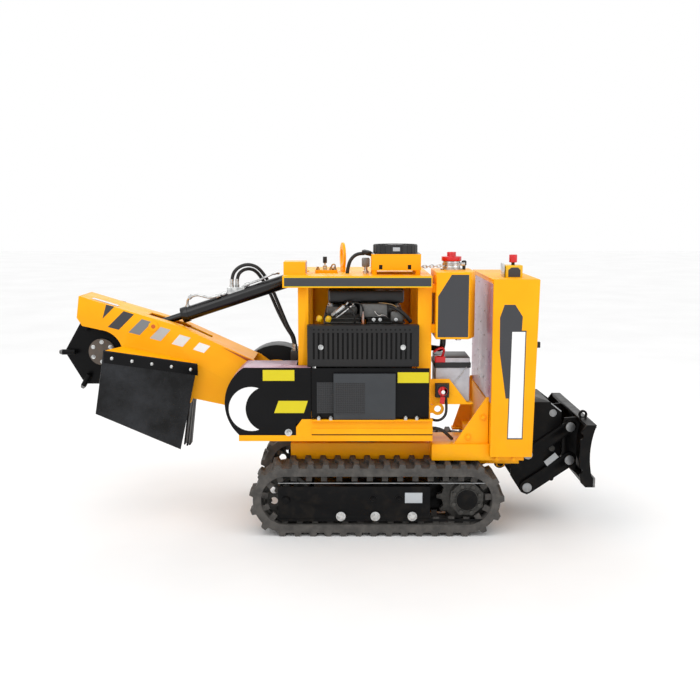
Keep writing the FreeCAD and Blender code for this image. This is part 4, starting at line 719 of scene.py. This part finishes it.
def finish_engine():
    rounded("engine_block", 0.004, (IRON, everywhere))
    rounded("air_filter", 0.012, (BLACK_PLASTIC, everywhere))
    rounded("engine_pulley", 0.001, (WORN, everywhere))
    rounded("jackshaft", 0.001, (WORN, everywhere))
    rounded("primary_belt", 0.001, (BELT, everywhere))
    for number, x0 in enumerate((0.022, 0.232)):
        for i in range(9):
            z = 0.862 + 0.019 * i
            block(f"cooling_fin_{number}_{i}", (x0 - 0.006, -0.198, z), (x0 + 0.176, 0.21, z + 0.005), ALLOY,
                  "superstructure", 0.001)
        block(f"rocker_cover_{number}", (x0 + 0.01, -0.196, 1.038), (x0 + 0.158, 0.12, 1.075), ALLOY,
              "superstructure", 0.009)
        place_copies(f"rocker_bolts_{number}", BOLT_18,
                     [((x0 + dx, y, 1.075), UP) for dx in (0.03, 0.14) for y in (-0.17, -0.04)], ZINC,
                     "superstructure")
    block("blower_housing", (0.045, -0.232, 1.098), (0.398, -0.178, 1.156), BLACK_PLASTIC, "superstructure",
          0.012)
    block("carburettor", (0.19, -0.265, 1.030), (0.32, -0.20, 1.095), ALLOY, "superstructure", 0.008)
    block("fuel_pump", (0.335, -0.265, 1.008), (0.395, -0.205, 1.060), ALLOY, "superstructure", 0.01)
    turned("fuel_filter", (0.060, -0.262, 1.035), (0.75, 0, 0.66),
           [(0.008, 0), (0.013, 0.006), (0.013, 0.075), (0.006, 0.082), (0.004, 0.1)], ZINC, "superstructure")
    turned("spark_cap", (0.205, -0.275, 0.99), UP, [(0.0065, 0), (0.0065, 0.05), (0.004, 0.055),
                                                    (0.004, 0.072)], COPPER, "superstructure")
    for i, (x, z) in enumerate(((-0.005, 1.012), (0.038, 1.010))):
        turned(f"dipstick_cap_{i}", (x, -0.262, z), (0.3, 0, 1), [(0.012, 0), (0.014, 0.008), (0.014, 0.02),
               (0.008, 0.028)], YELLOW_PLASTIC, "superstructure")
    pipe("fuel_line", [(0.12, -0.268, 1.09), (0.15, -0.28, 1.075), (0.17, -0.282, 1.03), (0.165, -0.27, 1.0)],
         0.0045, HOSE, "superstructure")
    pipe("spark_lead", [(0.205, -0.275, 1.06), (0.205, -0.29, 1.09), (0.17, -0.28, 1.105),
                        (0.12, -0.24, 1.10)], 0.0038, HOSE, "superstructure")
    pipe("breather_hose", [(0.30, -0.24, 1.09), (0.345, -0.275, 1.085), (0.395, -0.285, 1.055),
                           (0.43, -0.265, 1.01)], 0.009, HOSE, "superstructure")
    pipe("throttle_link", [(0.26, -0.272, 1.06), (0.275, -0.285, 1.035), (0.3, -0.285, 1.05),
                           (0.32, -0.27, 1.03)], 0.0025, ZINC, "superstructure")
    pipe("choke_rod", [(0.08, -0.27, 1.03), (0.11, -0.278, 1.05), (0.15, -0.27, 1.085)], 0.004, ZINC,
         "superstructure")
    pipe("brass_line", [(0.36, -0.27, 1.06), (0.37, -0.285, 1.08), (0.33, -0.285, 1.1), (0.28, -0.27, 1.1)],
         0.0022, BRASS, "superstructure")
    for i, x in enumerate((0.255, 0.285, 0.36)):
        turned(f"union_{i}", (x, -0.266, 1.02), NEAR, [(0.009, 0), (0.009, 0.008), (0.006, 0.009),
                                                       (0.006, 0.018)], ZINC, "superstructure")


def finish_top():
    rounded("lifting_eye", 0.002, (YELLOW, everywhere))
    rounded("valve_block", 0.0015, (YELLOW, everywhere), (BRASS, lambda c, n: c.z > 1.2455))
    rounded("control_lever", 0.002, (BLACK_PLASTIC, everywhere), (ZINC, lambda c, n: c.z < 1.277))
    for i, x in enumerate((-0.012, 0.052, 0.07)):
        turned(f"valve_plug_{i}", (x, -0.118, 1.2448), UP, [(0.009, 0), (0.009, 0.008), (0.006, 0.009),
                                                            (0.006, 0.016)], BRASS, "superstructure")
    pipe("valve_pipe", [(0.07, -0.118, 1.255), (0.075, -0.118, 1.272), (0.055, -0.115, 1.272),
                        (0.05, -0.11, 1.25)], 0.0035, BRASS, "superstructure")
    rounded("oil_cooler", 0.002, (YELLOW, everywhere), (BLACK_PLASTIC, is_fan_shroud))
    rounded("cooler_fan", 0.001, (BLACK_PLASTIC, everywhere))
    # The cooler's foot slots are thin black blocks of painted shade.
    for i, x in enumerate((0.288, 0.423)):
        block(f"foot_slot_{i}", (x - 0.008, -0.2506, 1.256), (x + 0.008, -0.2494, 1.277), PAINTED_SHADE_BLACK,
              "superstructure", 0.0003)
    ribs = []
    for i in range(24):
        a = math.radians(15 * i)
        ribs.append(((FAN_X + 0.105 * math.cos(a), FAN_Y + 0.105 * math.sin(a), 1.328), UP))
    place_copies("shroud_ribs", shroud_rib(), ribs, BLACK_PLASTIC, "superstructure")
    block("fan_label", (0.345, -0.2430, 1.340), (0.378, -0.2405, 1.358), PALE_FILM, "superstructure", 0.0005)
    cooler_screws = [((x, y, COOLER_TOP + 0.0002), UP) for x in (0.256, 0.466) for y in (-0.239, -0.031)]
    place_copies("cooler_screws", DOME_4, cooler_screws, ZINC, "superstructure")
    turned("filter_head", (0.222, -0.15, 1.318), (0.25, 0, 1), [(0.022, 0), (0.026, 0.006), (0.026, 0.018),
           (0.016, 0.024)], BLACK_PLASTIC, "superstructure")
    block("filter_body", (0.200, -0.168, 1.262), (0.238, -0.132, 1.305), MID_GREY_CAST, "superstructure",
          0.006)
    turned("filter_stem", (0.219, -0.15, 1.231), UP, [(0.014, 0), (0.014, 0.012), (0.009, 0.014),
                                                      (0.009, 0.034)], ZINC, "superstructure")
    pipe("cooler_hose", [(0.212, -0.15, 1.325), (0.180, -0.152, 1.327), (0.147, -0.155, 1.300),
                         (0.134, -0.158, 1.262), (0.130, -0.160, 1.230)], 0.0085, HOSE, "superstructure")
    links = [((0.487 + 0.0165 * i, -0.15, 1.262 + 0.0008 * i),
              (0, 1, 0) if i % 2 else (0, 0, 1)) for i in range(7)]
    place_copies("cap_chain", chain_link(), links, ZINC, "superstructure")


def is_fan_shroud(centre, normal):
    near_fan = math.hypot(centre.x - FAN_X, centre.y - FAN_Y) < 0.112
    return centre.z > COOLER_TOP + 0.0008 or (centre.z > COOLER_TOP - 0.005 and near_fan)


def shroud_rib():
    bpy.ops.object.select_all(action="DESELECT")
    bpy.ops.mesh.primitive_cube_add(size=1, location=(0, 0, 0.019), scale=(0.003, 0.003, 0.036))
    made = bpy.context.object
    bpy.ops.object.transform_apply()
    MODELS.append(made)
    return made


def chain_link():
    bpy.ops.object.select_all(action="DESELECT")
    bpy.ops.mesh.primitive_torus_add(major_segments=20, minor_segments=8, major_radius=0.0085,
                                     minor_radius=0.0024)
    made = bpy.context.object
    made.scale = (1.35, 0.8, 1)
    bpy.ops.object.transform_apply()
    smooth(made, 60)
    MODELS.append(made)
    return made


MID_GREY_CAST = sand_casting("grey_filter_casting", "#8B8F92", 0.45)


def finish_tank():
    rounded("hydraulic_tank", 0.003, (YELLOW, everywhere), (ZINC, lambda c, n: c.z > 1.2475))
    rounded("filler_cap", 0.002, (RED_PLASTIC, everywhere))
    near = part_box("hydraulic_tank")[0].y
    film = [(0.552, 0.945), (0.694, 0.945), (0.694, 1.236), (0.614, 1.236), (0.552, 1.136)]
    plate("tank_film", film, near - 0.0006, near + 0.0002, DARK_FILM, "superstructure")
    turned("neck_collar", (NECK_X, NECK_Y, 1.2472), UP, [(0.055, 0), (0.055, 0.006), (0.044, 0.007),
                                                         (0.044, 0.012)], ZINC, "superstructure")
    turned("neck_clamp", (NECK_X, NECK_Y, 1.268), UP, [(0.0435, 0), (0.0455, 0.001), (0.0455, 0.011),
                                                       (0.0435, 0.012)], ZINC, "superstructure")
    block("clamp_screw", (0.676, -0.135, 1.266), (0.698, -0.115, 1.282), ZINC, "superstructure", 0.002)
    turned("breather", (0.694, -0.12, 1.2472), UP, [(0.008, 0), (0.008, 0.02), (0.012, 0.021), (0.012, 0.04),
           (0.007, 0.044)], BLACK_PLASTIC, "superstructure")
    turned("tank_outlet", (0.590, -0.20, 0.935), (0, 0, -1), [(0.018, 0), (0.018, 0.012), (0.013, 0.013),
           (0.013, 0.03)], BLACK_PLASTIC, "superstructure")
    pipe("suction_hose", [(0.590, -0.20, 0.920), (0.590, -0.20, 0.890), (0.585, -0.17, 0.865),
                          (0.553, -0.10, 0.862), (0.500, -0.06, 0.86)], 0.014, HOSE, "superstructure")
    place_copies("tank_drain", BOLT_24, [((0.66, -0.22, 0.935), (0, 0, -1))], ZINC, "superstructure")
    rounded("battery", 0.004, (PALE_PLASTIC, everywhere), (BLACK_PLASTIC, lambda c, n: c.z > 0.80))
    block("battery_lid", (0.548, -0.245, 0.785), (0.721, -0.045, 0.812), BLACK_PLASTIC, "superstructure",
          0.004)
    block("terminal_cover", (0.548, -0.243, 0.808), (0.600, -0.19, 0.84), RED_PLASTIC, "superstructure",
          0.006)
    pipe("battery_strap", [(0.556, -0.243, 0.625), (0.640, -0.244, 0.700), (0.700, -0.244, 0.790)], 0.0018,
         ZINC, "superstructure")
    pipe("red_cable", [(0.585, -0.215, 0.835), (0.600, -0.22, 0.87), (0.575, -0.23, 0.885),
                       (0.545, -0.22, 0.86)], 0.006, RED_PLASTIC, "superstructure")
    rounded("battery_isolator", 0.002, (BLACK_PLASTIC, everywhere))
    rounded("isolator_key", 0.002, (RED_PLASTIC, everywhere))
    plate("isolator_plate", [(0.549, 0.648), (0.617, 0.648), (0.617, 0.716), (0.549, 0.716)], -0.2645,
          -0.2622, BLACK_PLASTIC, "superstructure", 0.0008)
    corners = [((x, -0.2645, z), NEAR) for x in (0.556, 0.610) for z in (0.655, 0.709)]
    place_copies("isolator_screws", DOME_4, corners, ZINC, "superstructure")
    turned("isolator_dial", (0.583, -0.318, 0.682), NEAR, [(0.009, 0), (0.009, 0.002), (0.004, 0.0025)],
           WHITE_FILM, "isolator_key")
    plate("isolator_tag", [(0.567, 0.625), (0.590, 0.621), (0.594, 0.654), (0.572, 0.660)], -0.305, -0.302,
          RED_PLASTIC, "superstructure", 0.001)
    pipe("cable_loop_1", [(0.600, -0.262, 0.655), (0.606, -0.275, 0.60), (0.598, -0.28, 0.555),
                          (0.560, -0.275, 0.53), (0.533, -0.262, 0.54)], 0.0065, HOSE, "superstructure")
    pipe("cable_loop_2", [(0.532, -0.30, 0.505), (0.575, -0.31, 0.505), (0.612, -0.30, 0.470),
                          (0.634, -0.255, 0.442)], 0.008, HOSE, "superstructure")


# ---- boom, cutter and lift ram ----

def finish_boom():
    rounded("boom_arm", 0.002, (YELLOW, everywhere))
    # The pin bosses are coloured with painted shade.
    for side, s in (("near", -1), ("far", 1)):
        turned(f"boom_pin_end_{side}", (BOOM_PIN_X, s * 0.1205, BOOM_PIN_Z), (0, s, 0),
               [(0.0105, -0.004), (0.0105, BOSS_HIGH), (0.0070, BOSS_HIGH + 0.001)], PAINTED_SHADE_ORANGE, "boom")
    rounded("boom_belt", 0.001, (BELT, everywhere))
    bands = (
        ("charcoal", DARK_FILM, [(-0.958, 1.045), (-0.908, 1.029), (-0.985, 0.953), (-1.038, 0.967)]),
        ("mid", MID_FILM, [(-0.871, 1.006), (-0.821, 0.991), (-0.884, 0.927), (-0.938, 0.941)]),
        ("pale", PALE_FILM, [(-0.780, 0.967), (-0.732, 0.953), (-0.782, 0.898), (-0.835, 0.912)]),
        ("light", LIGHT_FILM, [(-0.688, 0.930), (-0.635, 0.914), (-0.676, 0.869), (-0.729, 0.884)]),
        ("white", WHITE_FILM, [(-0.593, 0.891), (-0.540, 0.873), (-0.572, 0.839), (-0.625, 0.856)]),
        ("wedge", DARK_FILM, [(-1.042, 1.077), (-1.002, 1.067), (-1.062, 1.008)]),
    )
    for tone, film, outline in bands:
        plate(f"boom_band_{tone}_near", outline, -BOOM_FACE[1], -BOOM_FACE[0], film, "boom")
        plate(f"boom_band_{tone}_far", outline, *BOOM_FACE, film, "boom")
    top = [(-1.120, 1.1025), (-0.995, 1.0645)]
    (x0, z0), (x1, z1) = top
    bpy.ops.object.select_all(action="DESELECT")
    plate("boom_top_strip", [(x0, z0), (x1, z1), (x1 + 0.0004, z1 + 0.0012), (x0 + 0.0004, z0 + 0.0012)],
          -0.085, -0.045, SILVER_FILM, "boom")
    # A thin triangle of painted shade along the crease on the boom's near side.
    crease = [(-0.481, 0.8665), (-0.330, 0.801), (-0.326, 0.780)]
    plate("boom_gusset", crease, -0.1215, -0.1195, PAINTED_SHADE_ORANGE, "boom", 0.0006)
    rounded("cutter_wheel", 0.002, (BLACK, everywhere), (RUSTY, lambda c, n: c.y < -0.0485 and math.hypot(
            c.x - CUTTER_X, c.z - CUTTER_Z) < 0.030))
    rounded("cutter_shaft", 0.001, (GROUND, everywhere))
    rounded("cutter_teeth", 0.0015, (BLACK, everywhere), (WORN, lambda c,
                                                          n: math.hypot(c.x - CUTTER_X,
                                                                        c.z - CUTTER_Z) > 0.194))
    turned("wheel_nut", (CUTTER_X, -0.060, CUTTER_Z), NEAR, [(0.028, 0), (0.028, 0.002), (0.020, 0.003),
           (0.020, 0.004), (0.012, 0.005)], RUSTY, "cutter")
    ring = []
    for i in range(6):
        a = math.radians(60 * i + 30)
        ring.append(((CUTTER_X + 0.0495 * math.cos(a), -0.060, CUTTER_Z + 0.0495 * math.sin(a)), NEAR))
    place_copies("wheel_bolts", BOLT_11, ring, ZINC, "cutter")
    rounded("lift_cylinder_barrel", 0.002, (RAM_BLACK, everywhere), (ZINC, lambda c, n: c.z > 1.1405
                                                                       and -0.47 < c.x < -0.375))
    rounded("lift_cylinder_rod", 0.001, (RAM_BLACK, everywhere))
    finish_pipes()


BOSS_HIGH = 0.0062
# Deep orange: painted shade, the boom's yellow as it looks in shade, for the pin bosses and the crease on the
# boom's side.
PAINTED_SHADE_ORANGE = powder_coat("deep_orange_powder_coat", "#C75A00", "#B34E00", 0.4)


def finish_pipes():
    """Hard pipes of the lift ram, with their elbows and unions."""
    body = "lift_barrel"
    pipe("rod_end_pipe", [(-0.666, 0.0, 1.052), (-0.668, -0.006, 1.085), (-0.650, -0.018, 1.104),
                          (-0.612, -0.028, 1.117), (-0.580, -0.030, 1.108), (-0.550, -0.030, 1.101),
                          (-0.510, -0.024, 1.112), (-0.462, -0.012, 1.128)], 0.0062, ZINC, body)
    turned("rod_end_boss", (-0.666, 0.0, 1.052), UP, [(0.012, 0), (0.012, 0.010), (0.009, 0.011),
                                                      (0.009, 0.014)], ZINC, body)
    for i, (x, y, z, along) in enumerate(((-0.655, -0.015, 1.098, (0.6, 0, 0.6)),
                                          (-0.520, -0.026, 1.108, (0.95, 0, 0.25)),
                                          (-0.490, -0.018, 1.118, (0.95, 0, 0.3)),
                                          (-0.378, -0.006, 1.1625, (0.95, 0, 0.3)))):
        turned(f"pipe_union_{i}", (x, y, z), along, [(0.0105, 0), (0.0105, 0.013), (0.0090, 0.014),
               (0.0090, 0.022)], ZINC, body)
    pipe("base_end_pipe", [(-0.392, -0.004, 1.150), (-0.380, -0.006, 1.162), (-0.345, -0.010, 1.174),
                           (-0.300, -0.022, 1.190), (-0.262, -0.03, 1.209),
                           (-0.228, -0.03, 1.225), (-0.206, -0.02, 1.222)], 0.0060, ZINC, body)
    turned("base_end_union", (-0.232, -0.03, 1.221), (0.85, 0, 0.35),
           [(0.008, 0), (0.008, 0.012), (0.007, 0.013), (0.007, 0.022)], ZINC, body)
    block("port_block_face", (-0.4664, -0.0206, 1.1185), (-0.3796, 0.0304, 1.1524), ZINC, body, 0.002)
    places = [((x, y, 1.152), UP) for x in (-0.459, -0.387) for y in (-0.012, 0.022)]
    place_copies("port_screws", DOME_4, places, ZINC, body)


def finish_flap():
    """The side flap: thick rubber that bellies a little below its clamping strip."""
    corners = [(-1.009, -0.330), (-0.600, -0.160)]
    (ax, ay), (bx, by) = corners
    far = math.hypot(bx - ax, by - ay)
    ux, uy = (bx - ax) / far, (by - ay) / far
    bpy.ops.object.select_all(action="DESELECT")
    bpy.ops.mesh.primitive_grid_add(x_subdivisions=40, y_subdivisions=30, size=1)
    made = bpy.context.object
    for spot in made.data.vertices:
        s, t = spot.co.x + 0.5, 0.5 - spot.co.y
        top = 0.884 + (0.793 - 0.884) * s
        low = 0.585 + (0.375 - 0.585) * s
        along = s * far + t * (-0.047 * (1 - s) - 0.093 * s)
        z = top + (low - top) * t
        belly = 0.006 * math.sin(math.pi * t) * math.sin(math.pi * min(1, 1.1 * s))
        belly += 0.002 * math.sin(7 * s + 3 * t)
        out = 0.004 + belly * min(1, 4 * t)
        spot.co = (ax + along * ux + out * uy, ay + along * uy - out * ux, z)
    thick = made.modifiers.new("thick", "SOLIDIFY")
    thick.thickness = 0.008
    thick.offset = 0
    alone(made)
    bpy.ops.object.modifier_apply(modifier="thick")
    bpy.ops.object.mode_set(mode="EDIT")
    bpy.ops.mesh.select_all(action="SELECT")
    bpy.ops.mesh.normals_make_consistent(inside=False)
    bpy.ops.object.mode_set(mode="OBJECT")
    smooth(made, 50)
    dressed(made, "side_flap", FLAP, "boom")
    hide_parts("rubber_flap")

    def on_flap(s, down, out):
        z = 0.884 + (0.793 - 0.884) * s / far - down
        return (ax + s * ux + out * uy, ay + s * uy - out * ux, z)
    bpy.ops.mesh.primitive_cube_add(size=1)
    strip = bpy.context.object
    spots = [on_flap(s, down, out) for s in (0.0, far) for out in (0.0082, 0.0135) for down in (0.058, 0.006)]
    order = sorted(range(8), key=lambda i: (strip.data.vertices[i].co.x, strip.data.vertices[i].co.y,
                                            strip.data.vertices[i].co.z))
    for number, place in zip(order, spots):
        strip.data.vertices[number].co = place
    alone(strip)
    bpy.ops.object.mode_set(mode="EDIT")
    bpy.ops.mesh.select_all(action="SELECT")
    bpy.ops.mesh.normals_make_consistent(inside=False)
    bpy.ops.mesh.bevel(offset=0.001, segments=2, affect="EDGES")
    bpy.ops.object.mode_set(mode="OBJECT")
    smooth(strip)
    dressed(strip, "flap_strip", SATIN_BLACK, "boom")
    across = (uy, -ux, 0)
    place_copies("flap_bolts", DOME_9, [(on_flap(far * k, 0.032, 0.0134), across) for k in (0.08, 0.29, 0.5,
                                                                                            0.71, 0.92)],
                 ZINC, "boom")
    rounded("rear_curtain", 0.001, (CURTAIN, everywhere))


# ---- floor and light ----

def light_studio():
    bpy.ops.object.select_all(action="DESELECT")
    bpy.ops.mesh.primitive_plane_add(size=60)
    floor = bpy.context.object
    floor.name = "studio_floor"
    floor.data.materials.append(FLOOR)
    world = bpy.data.worlds.new("studio_air")
    bpy.context.scene.world = world
    world.use_nodes = True
    world.node_tree.nodes["Background"].inputs["Color"].default_value = (1, 1, 1, 1)
    world.node_tree.nodes["Background"].inputs["Strength"].default_value = 1.0
    for name, place, size, power in (("key_light", (-1.5, -3.2, 4.2), 3.0, 32),
                                     ("side_light", (3.6, -2.6, 2.6), 2.2, 14),
                                     ("rim_light", (-0.5, 3.6, 3.4), 3.0, 30)):
        bpy.ops.object.light_add(type="AREA", location=place)
        lamp = bpy.context.object
        lamp.name = name
        lamp.data.size = size
        lamp.data.energy = power
        lamp.rotation_euler = (Vector((0, 0, 0.6)) - Vector(place)).to_track_quat("-Z", "Y").to_euler()
    bpy.ops.object.light_add(type="SUN", location=(0, 0, 5), rotation=(math.radians(28), math.radians(-8), 0))
    overhead = bpy.context.object
    overhead.name = "overhead_softbox"
    overhead.data.angle = math.radians(60)
    overhead.data.energy = 0.35


def matt_floor():
    """Seamless paper: pale and matt."""
    made, tree, surface, place = start_material("seamless_paper")
    tone = ramp(tree, noise(tree, place, 900), 0.3, 0.7)
    tree.links.new(mixed(tree, tone, linear("#F4F4F4"), linear("#EFEFEF")), surface.inputs["Base Color"])
    surface.inputs["Roughness"].default_value = 0.85
    return made


FLOOR = matt_floor()
finish_tracks()
finish_chassis()
finish_deck()
finish_covers()
finish_engine()
finish_top()
finish_tank()
finish_boom()
finish_flap()
light_studio()
for model in MODELS:
    bpy.data.objects.remove(model)
